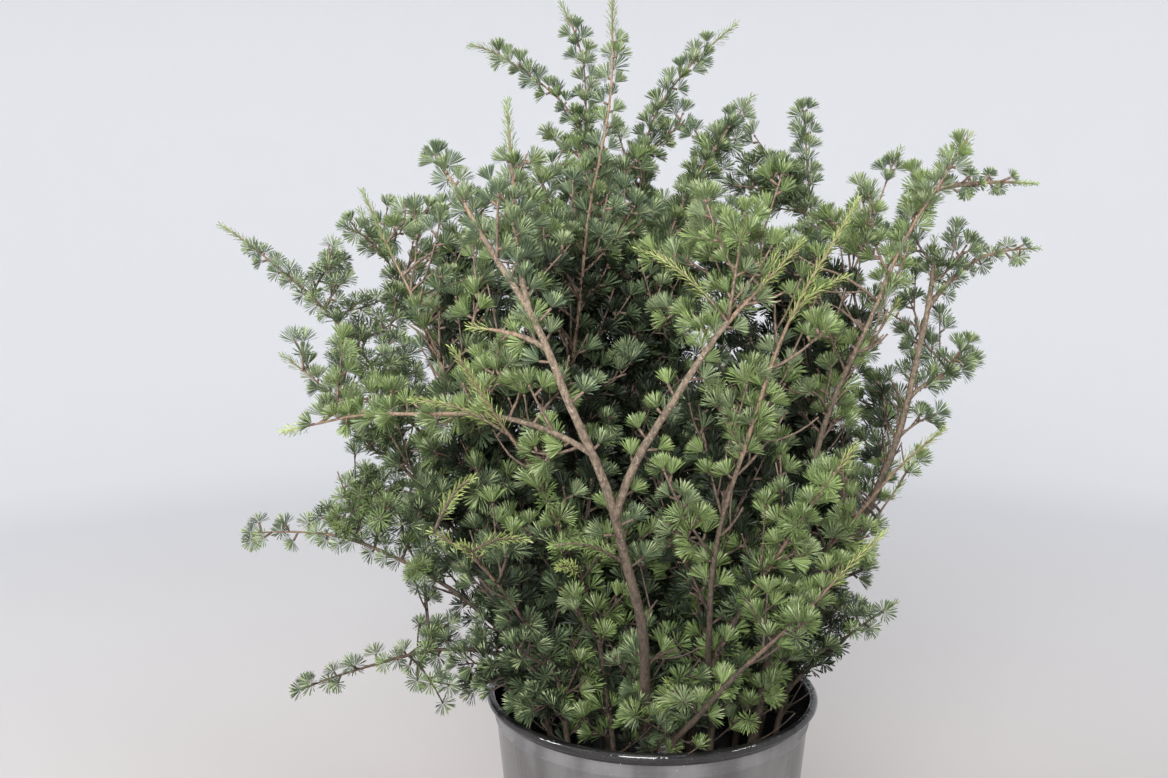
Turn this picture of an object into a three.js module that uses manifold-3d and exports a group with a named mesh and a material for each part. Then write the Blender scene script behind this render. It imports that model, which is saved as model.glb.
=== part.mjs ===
// Cut cedar boughs standing in a round florist's bucket.
// Millimetres, +Z up, the origin at the middle of the bucket's flat underside, +Y towards the back.
// Each bough is one tapering limb whose foot stands on the bucket's floor.
// Past the limb's end, and from its side, grow sprays: a stem, its twigs and their rosettes of needles.

import * as THREE from "three";
import { mergeVertices } from "three/addons/utils/BufferGeometryUtils.js";
import Module from "manifold-3d";

const wasm = await Module();
wasm.setup();

// The bucket
const BUCKET_HEIGHT = 300;
const BUCKET_BASE_RADIUS = 115;
const BUCKET_MOUTH_RADIUS = 143;
const BUCKET_WALL = 2.6;
const BUCKET_FLOOR = 4;
const BUCKET_FOOT_CHAMFER = 3;
const BUCKET_SEGMENTS = 40;
const RIM_BEAD_RADIUS = 4;
const RIM_BEAD_STEPS = 6;
const RIM_BEAD_OUT = 3;
const RIM_BEAD_FROM = -90;
const RIM_BEAD_TO = 144;

// The wood
const SEAT_GAP = 0.3;
const FOOT_SHARE_OF_NECK = 0.55;
const STRAIGHT_ON_SHARE = 0.45;
const SIDE_LEAD_SHARE = 0.3;
const LIMB_SIDES = 6;
const LIMB_STEP = 78;
const LIMB_END_RADIUS = 2.4;
const STEM_STEP = 55;
const STEM_ROOT_RADIUS = 2.3;
const STEM_TIP_RADIUS = 0.9;
const TWIG_ROOT_RADIUS = 1.5;
const TWIG_TIP_RADIUS = 0.8;

// The needles: every rosette is a ring of teeth that flares out of a slim core, and stands for several, so it is
// larger than life
const NEEDLE_TEETH = 3;
const NEEDLE_LENGTH = 26;
const NEEDLE_SHORTEST = 0.75;
const NEEDLE_LONGEST = 1.2;
const NEEDLE_SPREAD = 60;
const NEEDLE_TRIES = [1, 0.75, 0.5, 0.25];
const ROSETTE_SPACING = 31;
const ROSETTE_SLACK = 9;
const ROSETTE_TWIST = -60;
const FIRST_ROSETTE = 20;
const FIRST_SIDE_ROSETTE = 34;
const LAST_ROSETTE_BACK = 12;

// The branching rule
const FIRST_SEED = 601;
const TWIG_SPACING = 42;
const TWIG_ANGLE = 50;
const TWIG_LONGEST = 105;
const TWIG_SHORTEST = 42;
const TWIG_REACH_LEAST = 0.8;
const TWIG_REACH_MOST = 1.2;
const TWIG_TRIES = [1, 0.7, 0.45];
const GOLDEN_ANGLE = 137.5;
const FIRST_TWIG = 22;
const LAST_TWIG_BACK = 40;
const SPACE_MARGIN = 1;
const CLEARANCE = 0.25;
const NEEDLE_CLEARANCE = 4;

// Each bough: where it passes the rim (turn and reach round the bucket's axis) or the bough and the share of it
// that it forks from, a knee that it bends through where it has one, its tip (turn, reach, height), its radius
// at the foot, the share of its length above the rim that is bare limb, and its side sprays, each with the
// share of that bare limb where it starts and its own tip.
const BOUGHS = [
  {
    name: "front_fork",
    neck: [-96, 100],
    knee: [-101, 204, 504],
    tip: [-139, 228, 766],
    radius: 5.8,
    limb: 0.8,
    sides: {
      left_arch: [0.66, -169, 318, 547],
      left_level: [0.85, -129.5, 227, 642],
      upright: [0.92, -128, 190, 805],
    },
  },
  {
    name: "front_fork_right",
    forkOf: ["front_fork", 0.54],
    tip: [-66, 222, 705],
    radius: 3,
    limb: 0.5,
    sides: {},
  },
  {
    name: "front_low_right",
    neck: [-84, 120],
    knee: [-68, 196, 398],
    tip: [-44, 232, 482],
    radius: 3.8,
    limb: 0.08,
    sides: {},
  },
  {
    name: "front_right",
    neck: [-62, 100],
    knee: [-73.5, 198, 561],
    tip: [-51, 217, 735],
    radius: 4.6,
    limb: 0.26,
    sides: { outer: [0.5, -58, 250, 560] },
  },
  {
    name: "right_upper",
    neck: [-38, 112],
    knee: [-27, 182, 625],
    tip: [-15, 258, 790],
    radius: 4.8,
    limb: 0.5,
    sides: { outer: [0.7, 0, 332, 754], front: [0.3, -32, 255, 560] },
  },
  {
    name: "right_low",
    neck: [-13, 121],
    tip: [-2, 222, 490],
    radius: 3.8,
    limb: 0.14,
    sides: { shoot: [0.1, -14, 214, 394] },
  },
  {
    name: "right_side",
    neck: [10, 112],
    knee: [5, 240, 597],
    tip: [9, 259, 704],
    radius: 4.8,
    limb: 0.88,
    sides: { outer: [0.97, 15, 385, 697], short: [0.75, 9, 297, 590] },
  },
  {
    name: "right_back",
    neck: [33, 115],
    tip: [25, 266, 788],
    radius: 4.4,
    limb: 0.07,
    sides: { low: [0.1, 42, 262, 540] },
  },
  {
    name: "back_right",
    neck: [60, 100],
    knee: [84, 96, 774],
    tip: [54, 136, 904],
    radius: 4.6,
    limb: 0.12,
    sides: { low: [0.45, 68, 232, 610] },
  },
  {
    name: "back",
    neck: [87, 117],
    tip: [88, 205, 720],
    radius: 4.4,
    limb: 0.08,
    sides: { low: [0.1, 88, 238, 470] },
  },
  {
    name: "back_left",
    neck: [114, 104],
    tip: [121, 160, 928],
    radius: 4.8,
    limb: 0.12,
    sides: { outer: [0.2, 143, 212, 889] },
  },
  {
    name: "left_back",
    neck: [140, 117],
    tip: [137, 262, 690],
    radius: 4.4,
    limb: 0.08,
    sides: { low: [0.1, 128, 240, 500] },
  },
  {
    name: "far_left",
    neck: [163, 108],
    tip: [163, 284, 730],
    radius: 4.6,
    limb: 0.16,
    sides: { outer: [0.4, 176, 387, 716] },
  },
  {
    name: "left_low",
    neck: [184, 119],
    tip: [178, 328, 600],
    radius: 4.4,
    limb: 0.22,
    sides: { lowest: [0.3, 176, 327, 286], level: [0.62, 178, 364, 440] },
  },
  {
    name: "left_shoot",
    neck: [207, 108],
    tip: [190, 249, 742],
    radius: 4.2,
    limb: 0.07,
    sides: {},
  },
  {
    name: "front_low_left",
    neck: [231, 121],
    tip: [228, 256, 492],
    radius: 3.8,
    limb: 0.06,
    sides: {},
  },
  {
    name: "front_left",
    neck: [248, 104],
    tip: [234.5, 265, 628],
    radius: 4.2,
    limb: 0.06,
    sides: {},
  },
  {
    name: "top_centre",
    neck: [200, 44],
    knee: [208, 80, 660],
    tip: [180, 37, 925],
    radius: 5,
    limb: 0.1,
    sides: {},
  },
  {
    name: "upper_right",
    neck: [40, 50],
    knee: [29, 175, 709],
    tip: [36, 178, 826],
    radius: 4.4,
    limb: 0.08,
    sides: {},
  },
  {
    name: "middle_right",
    neck: [-42, 48],
    knee: [14, 21, 726],
    tip: [10, 84, 826],
    radius: 4.4,
    limb: 0.08,
    sides: {},
  },
  {
    name: "middle_left",
    neck: [125, 46],
    tip: [158, 122, 806],
    radius: 4.4,
    limb: 0.08,
    sides: {},
  },
];

const BARK = new THREE.MeshStandardMaterial({ color: 0x7d6a58, roughness: 0.85, metalness: 0 });
const NEEDLES = new THREE.MeshStandardMaterial({ color: 0x5b7d5c, roughness: 0.55, metalness: 0 });
const PLASTIC = new THREE.MeshStandardMaterial({ color: 0x2b2b2d, roughness: 0.22, metalness: 0 });

const { degToRad, lerp } = THREE.MathUtils;

// A place round the bucket's axis: turn in degrees from +X towards +Y, reach from the axis, height above the ground
function place(turn, reach, height) {
  const angle = degToRad(turn);
  return new THREE.Vector3(reach * Math.cos(angle), reach * Math.sin(angle), height);
}

// Seeded random numbers from 0 to 1
function seededRandom(seed) {
  let state = seed >>> 0;
  return () => {
    state = (state + 0x6d2b79f5) >>> 0;
    let t = Math.imul(state ^ (state >>> 15), 1 | state);
    t = (t + Math.imul(t ^ (t >>> 7), 61 | t)) ^ t;
    return ((t ^ (t >>> 14)) >>> 0) / 4294967296;
  };
}

function solidOf(geometry) {
  geometry.deleteAttribute("normal");
  geometry.deleteAttribute("uv");
  const merged = mergeVertices(geometry, 1e-3);
  const vertProperties = merged.getAttribute("position").array;
  const triVerts = new Uint32Array(merged.getIndex().array);
  return new wasm.Manifold(new wasm.Mesh({ numProp: 3, vertProperties, triVerts }));
}

function geometryOf(solid) {
  const mesh = solid.getMesh();
  const geometry = new THREE.BufferGeometry();
  geometry.setAttribute("position", new THREE.BufferAttribute(mesh.vertProperties, mesh.numProp));
  geometry.setIndex(new THREE.BufferAttribute(mesh.triVerts, 1));
  geometry.computeVertexNormals();
  return geometry;
}

// Solids joined in one body: a loose scrap is dropped and a sealed hollow is filled
function fused(solids) {
  const bodies = wasm.Manifold.union(solids).decompose();
  return bodies.reduce((largest, body) => (body.volume() > largest.volume() ? body : largest));
}

function stepsAlong(curve, step) {
  return Math.max(1, Math.round(curve.getLength() / step));
}

// A closed skin over rings of corners: a cylinder's net, with each ring of it laid on a ring of the list
function skinOver(rings) {
  const sides = rings[0].length;
  const geometry = new THREE.CylinderGeometry(1, 1, 1, sides, rings.length - 1);
  const centres = rings.map((ring) => {
    const sum = new THREE.Vector3();
    for (const corner of ring) sum.add(corner);
    return sum.divideScalar(sides);
  });
  const position = geometry.getAttribute("position");
  for (let i = 0; i < position.count; i++) {
    const ring = Math.round((position.getY(i) + 0.5) * (rings.length - 1));
    const turn = Math.atan2(position.getX(i), position.getZ(i)) / (2 * Math.PI);
    const side = (Math.round(turn * sides) + sides) % sides;
    const isCentre = Math.hypot(position.getX(i), position.getZ(i)) < 0.5;
    const corner = isCentre ? centres[ring] : rings[ring][side];
    position.setXYZ(i, corner.x, corner.y, corner.z);
  }
  return geometry;
}

// A direction square to a curve's run, from which turns about the curve are counted
function acrossOf(curve) {
  const run = curve.getPointAt(1).sub(curve.getPointAt(0));
  return new THREE.Vector3(run.z, 0, -run.x).normalize();
}

// A direction that leans from a tangent by an angle, turned about it from the direction across
function leaning(tangent, across, turn, angle) {
  const side = across.clone().projectOnPlane(tangent).normalize();
  side.applyAxisAngle(tangent, degToRad(turn));
  const lean = degToRad(angle);
  return side.multiplyScalar(Math.sin(lean)).addScaledVector(tangent, Math.cos(lean));
}

// One ring of corners about a curve
function ringAt(curve, across, share, radius, sides, turn) {
  const corners = [];
  for (let side = 0; side < sides; side++) {
    const outwards = leaning(curve.getTangentAt(share), across, turn + (360 * side) / sides, 90);
    corners.push(curve.getPointAt(share).addScaledVector(outwards, radius));
  }
  return corners;
}

// A tapered tube along a curve, closed at both ends
function taperedTube(curve, rootRadius, tipRadius, sides, step) {
  const steps = stepsAlong(curve, step);
  const across = acrossOf(curve);
  const rings = [];
  for (let i = 0; i <= steps; i++) {
    rings.push(ringAt(curve, across, i / steps, lerp(rootRadius, tipRadius, i / steps), sides, 0));
  }
  return skinOver(rings);
}

// A shoot along a curve: a slim core that flares at every rosette into a ring of needles, each as long as it may be
function shootGeometry(curve, rootRadius, tipRadius, firstRosette, random, needleReach) {
  const length = curve.getLength();
  const across = acrossOf(curve);
  const coreRing = (share, turn) => {
    return ringAt(curve, across, share, lerp(rootRadius, tipRadius, share), NEEDLE_TEETH, turn);
  };
  let turn = 0;
  const rings = [coreRing(0, turn)];
  const first = Math.min(firstRosette, length / 2);
  const last = Math.max(first, length - LAST_ROSETTE_BACK);
  const rosettes = 1 + Math.floor((last - first + ROSETTE_SLACK) / ROSETTE_SPACING);
  for (let i = 0; i < rosettes; i++) {
    const share = lerp(first, last, rosettes > 1 ? i / (rosettes - 1) : 0) / length;
    const core = coreRing(share, turn);
    const tangent = curve.getTangentAt(share);
    const teeth = core.map((corner, side) => {
      const along = leaning(tangent, across, turn + (360 * side) / NEEDLE_TEETH, NEEDLE_SPREAD);
      const wanted = NEEDLE_LENGTH * lerp(NEEDLE_SHORTEST, NEEDLE_LONGEST, random());
      return corner.clone().addScaledVector(along, needleReach(corner, along, wanted));
    });
    rings.push(core, teeth);
    turn += ROSETTE_TWIST;
  }
  rings.push(coreRing(1, turn));
  return skinOver(rings);
}

// The stretch of a curve between two shares of its length
class Stretch extends THREE.Curve {
  constructor(curve, start, end) {
    super();
    Object.assign(this, { curve, start, end });
  }
  getPoint(t, target = new THREE.Vector3()) {
    return this.curve.getPointAt(lerp(this.start, this.end, t), target);
  }
}

// The chords that a tube along a curve follows, so that what grows on the tube has its roots in it
function chordsOf(curve, step) {
  const points = curve.getSpacedPoints(stepsAlong(curve, step));
  const chords = new THREE.CurvePath();
  for (let i = 1; i < points.length; i++) chords.add(new THREE.LineCurve3(points[i - 1], points[i]));
  return { chords, points };
}

// The curve from a bough's neck to its tip: through its knee, or straight on from the neck and then over to the tip
function crownCurve(foot, neck, knee, tip) {
  if (!knee) {
    const straightOn = neck.clone().sub(foot).setLength(STRAIGHT_ON_SHARE * neck.distanceTo(tip));
    return new THREE.QuadraticBezierCurve3(neck, straightOn.add(neck), tip);
  }
  const toKnee = neck.distanceTo(knee);
  const t = toKnee / (toKnee + knee.distanceTo(tip));
  const control = knee
    .clone()
    .addScaledVector(neck, -((1 - t) ** 2))
    .addScaledVector(tip, -(t ** 2))
    .divideScalar(2 * t * (1 - t));
  return new THREE.QuadraticBezierCurve3(neck, control, tip);
}

// A side spray's curve: it leaves the limb half along the limb and half towards its own tip
function sideCurve(limb, share, tip) {
  const at = lerp(limb.bareFrom, 1, share);
  const start = limb.curve.getPointAt(at);
  const toTip = tip.clone().sub(start);
  const length = toTip.length();
  const lead = toTip.normalize().add(limb.curve.getTangentAt(at)).setLength(SIDE_LEAD_SHARE * length);
  return new THREE.QuadraticBezierCurve3(start, lead.add(start), tip);
}

// The chords of a curve without its first stretch: they start as near the limb as the seat's gap allows
function seatedOn(limb, curve, radius, sides) {
  const length = curve.getLength();
  for (let start = SEAT_GAP; start < length / 3; start += SEAT_GAP / 2) {
    const { chords, points } = chordsOf(new Stretch(curve, start / length, 1), STEM_STEP);
    const solid = solidOf(taperedTube(chords, radius, STEM_TIP_RADIUS, sides, STEM_STEP));
    if (limb.solid.minGap(solid, 2 * SEAT_GAP) >= SEAT_GAP) return { curve: chords, path: points };
  }
  throw new Error("a side stem finds no seat");
}

function distanceToPath(point, path) {
  const segment = new THREE.Line3();
  const nearest = new THREE.Vector3();
  let least = Infinity;
  for (let i = 1; i < path.length; i++) {
    segment.set(path[i - 1], path[i]).closestPointToPoint(point, true, nearest);
    least = Math.min(least, nearest.distanceTo(point));
  }
  return least;
}

const root = new THREE.Group();

function addMesh(name, geometry, material) {
  const mesh = new THREE.Mesh(geometry, material);
  mesh.name = name;
  root.add(mesh);
}

// The bucket: one revolved profile with a rolled rim
function bucketGeometry() {
  const wallTop = BUCKET_HEIGHT - 2 * RIM_BEAD_RADIUS;
  const profile = [
    new THREE.Vector2(0, 0),
    new THREE.Vector2(BUCKET_BASE_RADIUS - BUCKET_FOOT_CHAMFER, 0),
    new THREE.Vector2(BUCKET_BASE_RADIUS, BUCKET_FOOT_CHAMFER),
    new THREE.Vector2(BUCKET_MOUTH_RADIUS, wallTop),
  ];
  const beadX = BUCKET_MOUTH_RADIUS + RIM_BEAD_OUT;
  const beadY = BUCKET_HEIGHT - RIM_BEAD_RADIUS;
  for (let i = 0; i <= RIM_BEAD_STEPS; i++) {
    const angle = degToRad(lerp(RIM_BEAD_FROM, RIM_BEAD_TO, i / RIM_BEAD_STEPS));
    const x = beadX + RIM_BEAD_RADIUS * Math.cos(angle);
    profile.push(new THREE.Vector2(x, beadY + RIM_BEAD_RADIUS * Math.sin(angle)));
  }
  profile.push(new THREE.Vector2(BUCKET_MOUTH_RADIUS - BUCKET_WALL, wallTop));
  profile.push(new THREE.Vector2(BUCKET_BASE_RADIUS - BUCKET_WALL, BUCKET_FLOOR));
  profile.push(new THREE.Vector2(0, BUCKET_FLOOR));
  return new THREE.LatheGeometry(profile, BUCKET_SEGMENTS).rotateX(Math.PI / 2);
}

addMesh("bucket", bucketGeometry(), PLASTIC);

// The limbs: a straight run from the foot to the rim, then the crown's curve up to where the spray begins
const limbs = new Map();
const sprays = [];

// A bough's whole curve, the share of it where its bare limb is past the rim, and the share where the limb ends
function boughCurve(bough) {
  const tip = place(...bough.tip);
  if (bough.forkOf) {
    const [parentName, share] = bough.forkOf;
    const parent = limbs.get(parentName);
    const { curve } = seatedOn(parent, sideCurve(parent, share, tip), bough.radius, LIMB_SIDES);
    return { whole: curve, bareFrom: 0, end: bough.limb };
  }
  const [turn, reach] = bough.neck;
  const neck = place(turn, reach, BUCKET_HEIGHT);
  const foot = place(turn, reach * FOOT_SHARE_OF_NECK, BUCKET_FLOOR + SEAT_GAP);
  const knee = bough.knee && place(...bough.knee);
  const whole = new THREE.CurvePath();
  whole.add(new THREE.LineCurve3(foot, neck));
  whole.add(crownCurve(foot, neck, knee, tip));
  const [neckLength, length] = whole.getCurveLengths();
  const neckShare = neckLength / length;
  return { whole, bareFrom: neckShare, end: lerp(neckShare, 1, bough.limb) };
}

// The foot is cut level, so that it stands on the bucket's floor
function standFlat(geometry) {
  const position = geometry.getAttribute("position");
  const floor = BUCKET_FLOOR + SEAT_GAP;
  for (let i = 0; i < position.count; i++) {
    if (position.getZ(i) < floor + LIMB_STEP / 4) position.setZ(i, floor);
  }
  return geometry;
}

for (const bough of BOUGHS) {
  const { whole, bareFrom, end } = boughCurve(bough);
  const curve = new Stretch(whole, 0, end);
  const tube = taperedTube(curve, bough.radius, LIMB_END_RADIUS, LIMB_SIDES, LIMB_STEP);
  const path = curve.getSpacedPoints(stepsAlong(curve, LIMB_STEP));
  const limb = { curve, path, radius: bough.radius, bareFrom: bareFrom / end, solid: solidOf(standFlat(tube)) };
  limbs.set(bough.name, limb);
  addMesh(bough.name + "_limb", geometryOf(limb.solid), BARK);
  const onwards = seatedOn(limb, new Stretch(whole, end, 1), STEM_ROOT_RADIUS, NEEDLE_TEETH);
  sprays.push({ name: bough.name + "_spray", firstRosette: FIRST_ROSETTE, ...onwards });
  for (const [side, [share, ...tip]] of Object.entries(bough.sides)) {
    const beside = seatedOn(limb, sideCurve(limb, share, place(...tip)), STEM_ROOT_RADIUS, NEEDLE_TEETH);
    sprays.push({ name: `${bough.name}_${side}_spray`, firstRosette: FIRST_SIDE_ROSETTE, ...beside });
  }
}

// The sprays: each keeps to the space that is nearer to its own stem than to any other, and off limbs and bucket
const obstacles = [solidOf(bucketGeometry()), ...[...limbs.values()].map((limb) => limb.solid)];
for (const spray of sprays) {
  spray.solid = solidOf(taperedTube(spray.curve, STEM_ROOT_RADIUS, STEM_TIP_RADIUS, LIMB_SIDES, STEM_STEP));
}

function isInSpace(point, own) {
  const near = distanceToPath(point, own.path) + SPACE_MARGIN;
  if (sprays.some((other) => other !== own && distanceToPath(point, other.path) < near)) return false;
  return [...limbs.values()].every((limb) => distanceToPath(point, limb.path) > limb.radius + NEEDLE_CLEARANCE);
}

function isClear(solid, own) {
  const isOff = (other) => other.minGap(solid, SEAT_GAP) >= CLEARANCE;
  return obstacles.every(isOff) && sprays.every((other) => other === own || isOff(other.solid));
}

function growSpray(spray, seed) {
  const random = seededRandom(seed);
  const length = spray.curve.getLength();

  function shoot(curve, rootRadius, tipRadius, firstRosette, needleShare) {
    const needleReach = (corner, along, wanted) => {
      const fits = (part) => isInSpace(corner.clone().addScaledVector(along, wanted * part), spray);
      return wanted * (NEEDLE_TRIES.filter((part) => part <= needleShare).find(fits) ?? 0);
    };
    return solidOf(shootGeometry(curve, rootRadius, tipRadius, firstRosette, random, needleReach));
  }

  function stem() {
    for (const needleShare of NEEDLE_TRIES) {
      const solid = shoot(spray.curve, STEM_ROOT_RADIUS, STEM_TIP_RADIUS, spray.firstRosette, needleShare);
      if (isClear(solid, spray)) return solid;
    }
    throw new Error(spray.name + " has no room");
  }

  function twigAt(share, turn) {
    const start = spray.curve.getPointAt(share);
    const direction = leaning(spray.curve.getTangentAt(share), across, turn, TWIG_ANGLE);
    const spread = lerp(TWIG_REACH_LEAST, TWIG_REACH_MOST, random());
    const reach = spread * lerp(TWIG_LONGEST, TWIG_SHORTEST, share);
    for (const part of TWIG_TRIES) {
      const end = start.clone().addScaledVector(direction, reach * part);
      if (!isInSpace(end, spray)) continue;
      const line = new THREE.LineCurve3(start, end);
      const solid = shoot(line, TWIG_ROOT_RADIUS, TWIG_TIP_RADIUS, FIRST_ROSETTE, 1);
      if (isClear(solid, spray)) return [solid];
    }
    return [];
  }

  const across = acrossOf(spray.curve);
  const pieces = [stem()];
  let turn = 360 * random();
  for (let along = FIRST_TWIG; along < length - LAST_TWIG_BACK; along += TWIG_SPACING) {
    pieces.push(...twigAt(along / length, turn));
    turn += GOLDEN_ANGLE;
  }
  return fused(pieces);
}

sprays.forEach((spray, index) => {
  spray.solid = growSpray(spray, FIRST_SEED + index);
  addMesh(spray.name, geometryOf(spray.solid), NEEDLES);
});

export default root;
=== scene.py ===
# %% [markdown]
# # A bunch of cut cedar boughs in a bucket
# The object is a florist's bunch: about twenty cut boughs of cedar that stand in a round dark bucket. The
# solids of the frame already say where the bucket, the limbs and the sprays of foliage are. This lesson
# dresses them: a moulded bucket, wood with bark, twigs, and rosettes of needles. Everything is in metres,
# +Z is up, and the origin is in the middle of the bucket's underside.

# %% Load the frame
import math

import bmesh
import bpy
import numpy as np
from mathutils import Matrix, Vector, noise


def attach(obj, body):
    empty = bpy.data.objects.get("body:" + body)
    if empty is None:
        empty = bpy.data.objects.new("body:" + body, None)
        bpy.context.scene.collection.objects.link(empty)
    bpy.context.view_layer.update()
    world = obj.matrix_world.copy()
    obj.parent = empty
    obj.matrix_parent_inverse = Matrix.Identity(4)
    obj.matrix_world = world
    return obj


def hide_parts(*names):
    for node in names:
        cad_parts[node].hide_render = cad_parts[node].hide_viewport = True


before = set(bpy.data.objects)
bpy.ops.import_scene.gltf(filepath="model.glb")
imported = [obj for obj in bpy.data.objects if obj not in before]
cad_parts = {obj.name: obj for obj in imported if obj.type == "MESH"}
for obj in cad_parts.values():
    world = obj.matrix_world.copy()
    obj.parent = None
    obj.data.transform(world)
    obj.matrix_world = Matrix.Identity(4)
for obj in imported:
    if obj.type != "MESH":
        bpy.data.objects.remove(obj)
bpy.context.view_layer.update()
MM = 0.001
print("nodes in the frame:", len(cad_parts))

# %% [markdown]
# ## The camera
# The view is from a good step away, at three quarters of the bunch's height, and looks a little down. The
# focal length is known in pixels of an image 1168 pixels wide, so the lens follows from the sensor's width.
# The camera keeps level: it is pitched down and not rolled.

# %% Place the camera
IMAGE_WIDTH = 1168
FOCAL_PIXELS = 1200
CAMERA_PLACE = (-0.0616, -1.0546, 0.7125)
CAMERA_PITCH = 7.51
SENSOR_WIDTH = 36

camera_data = bpy.data.cameras.new("camera")
camera_data.sensor_width = SENSOR_WIDTH
camera_data.lens = SENSOR_WIDTH * FOCAL_PIXELS / IMAGE_WIDTH
camera = bpy.data.objects.new("camera", camera_data)
camera.location = CAMERA_PLACE
camera.rotation_euler = (math.radians(90 - CAMERA_PITCH), 0, 0)
bpy.context.scene.collection.objects.link(camera)
bpy.context.scene.camera = camera
print("lens:", round(camera_data.lens, 2), "mm")

# %% [markdown]
# ## Shader maths as Python
# A material is a graph of nodes, and a graph of sums is easier to read as a formula. `Wire` holds one
# output of a node. Adding or multiplying wires adds Math nodes, and the reflected forms let a number stand
# first, as in `1 - mask`. Its method `node` makes every other node: the settings are set first, because
# some of them change which sockets a node has, and then each socket gets a value or a link.

# %% Wrap a socket
class Wire:
    def __init__(self, tree, socket=None):
        self.tree = tree
        self.socket = socket

    def node(self, kind, settings=None, sockets=None, output=0):
        made = self.tree.nodes.new(kind)
        for name, value in (settings or {}).items():
            setattr(made, name, value)
        for name, value in (sockets or {}).items():
            if isinstance(value, Wire):
                self.tree.links.new(value.socket, made.inputs[name])
            else:
                made.inputs[name].default_value = value
        return Wire(self.tree, made.outputs[output])

    def math(self, operation, first, second):
        return self.node("ShaderNodeMath", {"operation": operation}, {0: first, 1: second})

    def __add__(self, other):
        return self.math("ADD", self, other)

    def __mul__(self, other):
        return self.math("MULTIPLY", self, other)

    def __sub__(self, other):
        return self.math("SUBTRACT", self, other)

    def __rsub__(self, other):
        return self.math("SUBTRACT", other, self)

    __radd__ = __add__
    __rmul__ = __mul__

    def step(self, low, high):
        """0 below low, 1 above high, and a smooth rise between them."""
        settings = {"interpolation_type": "SMOOTHSTEP"}
        return self.node("ShaderNodeMapRange", settings, {"Value": self, "From Min": low, "From Max": high})

    def colour(self, first, second):
        """A colour between two, by this wire from 0 to 1: a Mix node's colours are its sockets 6 and 7."""
        return self.node("ShaderNodeMix", {"data_type": "RGBA"}, {0: self, 6: first, 7: second}, 2)


print("Wire adds", [name for name in vars(Wire) if name.startswith("__r")], "as reflected forms")

# %% [markdown]
# ## A finish and its patterns
# Every finish here is one Principled shader. What is the same all over is set on the shader's own sockets.
# What varies is worked out from Object coordinates, so a pattern keeps its size in metres on every piece.
# Soft noise makes blotches that run into each other, and a steep step cuts clear patches out of it.

# %% Start a finish
def start_finish(name, **constants):
    """A new material with its shader's constant sockets set, as the material, its wire and its shader."""
    material = bpy.data.materials.new(name)
    material.use_nodes = True
    shader = material.node_tree.nodes["Principled BSDF"]
    for socket, value in constants.items():
        shader.inputs[socket.replace("_", " ")].default_value = value
    return material, Wire(material.node_tree), shader


def pattern(wire, scale, stretch=(1, 1, 1), detail=3):
    """Soft noise from 0 to 1, with `scale` blotches to a metre, stretched along the axes."""
    place = wire.node("ShaderNodeTexCoord", output="Object")
    turned = wire.node("ShaderNodeMapping", None, {"Vector": place, "Scale": stretch})
    return wire.node("ShaderNodeTexNoise", None, {"Vector": turned, "Scale": scale, "Detail": detail})


def patches(wire, scale, stretch, detail, ends):
    """The same noise cut into patches: 0 below the first end, 1 above the second."""
    return pattern(wire, scale, stretch, detail).step(*ends)


def feed(shader, wire, socket, value):
    wire.tree.links.new(value.socket, shader.inputs[socket])


def bump(wire, height, strength, distance):
    sockets = {"Height": height, "Strength": strength, "Distance": distance}
    return wire.node("ShaderNodeBump", None, sockets)


print("finishes read Object coordinates")

# %% [markdown]
# ## The studio
# The bunch stands on a pale floor that curves up into a pale wall all round, so no line shows behind it and
# it can be seen from every side. A spin of one profile gives that bowl. Its paint gets paler away from the
# bucket, because less light arrives there. The light is soft: a large lamp from the front, one from above,
# a weak one from the left, and a pale sky over the bowl's open top. Two small lamps at the sides hardly
# light the bunch: they are there for the glints that they leave on the bucket's glossy rim.

# %% Floor and wall
FLOOR_RADIUS = 2.2
COVE_RADIUS = 1.1
WALL_TOP = 3.4
COVE_STEPS = 10
STUDIO_TURNS = 96
FLOOR_PALE = (0.42, 0.394, 0.383, 1)
WALL_PALE = (0.74, 0.747, 0.768, 1)
PAINT_ROUGHNESS = 0.9
PALER_FROM = 0.5
PALER_BY = 2.0
SAME_PLACE = 0.01 * MM


def object_from(name, bm, *materials):
    """Turns a finished bmesh into an object at the origin, with its place in its mesh."""
    mesh = bpy.data.meshes.new(name)
    bm.to_mesh(mesh)
    bm.free()
    return link_mesh(name, mesh, materials)


def link_mesh(name, mesh, materials):
    for material in materials:
        mesh.materials.append(material)
    made = bpy.data.objects.new(name, mesh)
    bpy.context.scene.collection.objects.link(made)
    return made


def spin_profile(bm, profile, turns):
    """Spins a line of (radius, height) points round the Z axis and closes the seam and the poles."""
    verts = [bm.verts.new((radius, 0, height)) for radius, height in profile]
    edges = [bm.edges.new(pair) for pair in zip(verts, verts[1:])]
    bmesh.ops.spin(bm, geom=verts + edges, axis=(0, 0, 1), cent=(0, 0, 0), angle=math.tau,
                   steps=turns, use_merge=True)
    bmesh.ops.remove_doubles(bm, verts=bm.verts, dist=SAME_PLACE)
    bmesh.ops.recalc_face_normals(bm, faces=bm.faces)


def arc(centre, radius, start, end, steps):
    """Points on an arc about a (radius, height) centre, from one angle to another in degrees."""
    angles = [math.radians(start + (end - start) * i / steps) for i in range(steps + 1)]
    return [(centre[0] + radius * math.cos(a), centre[1] + radius * math.sin(a)) for a in angles]


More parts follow.
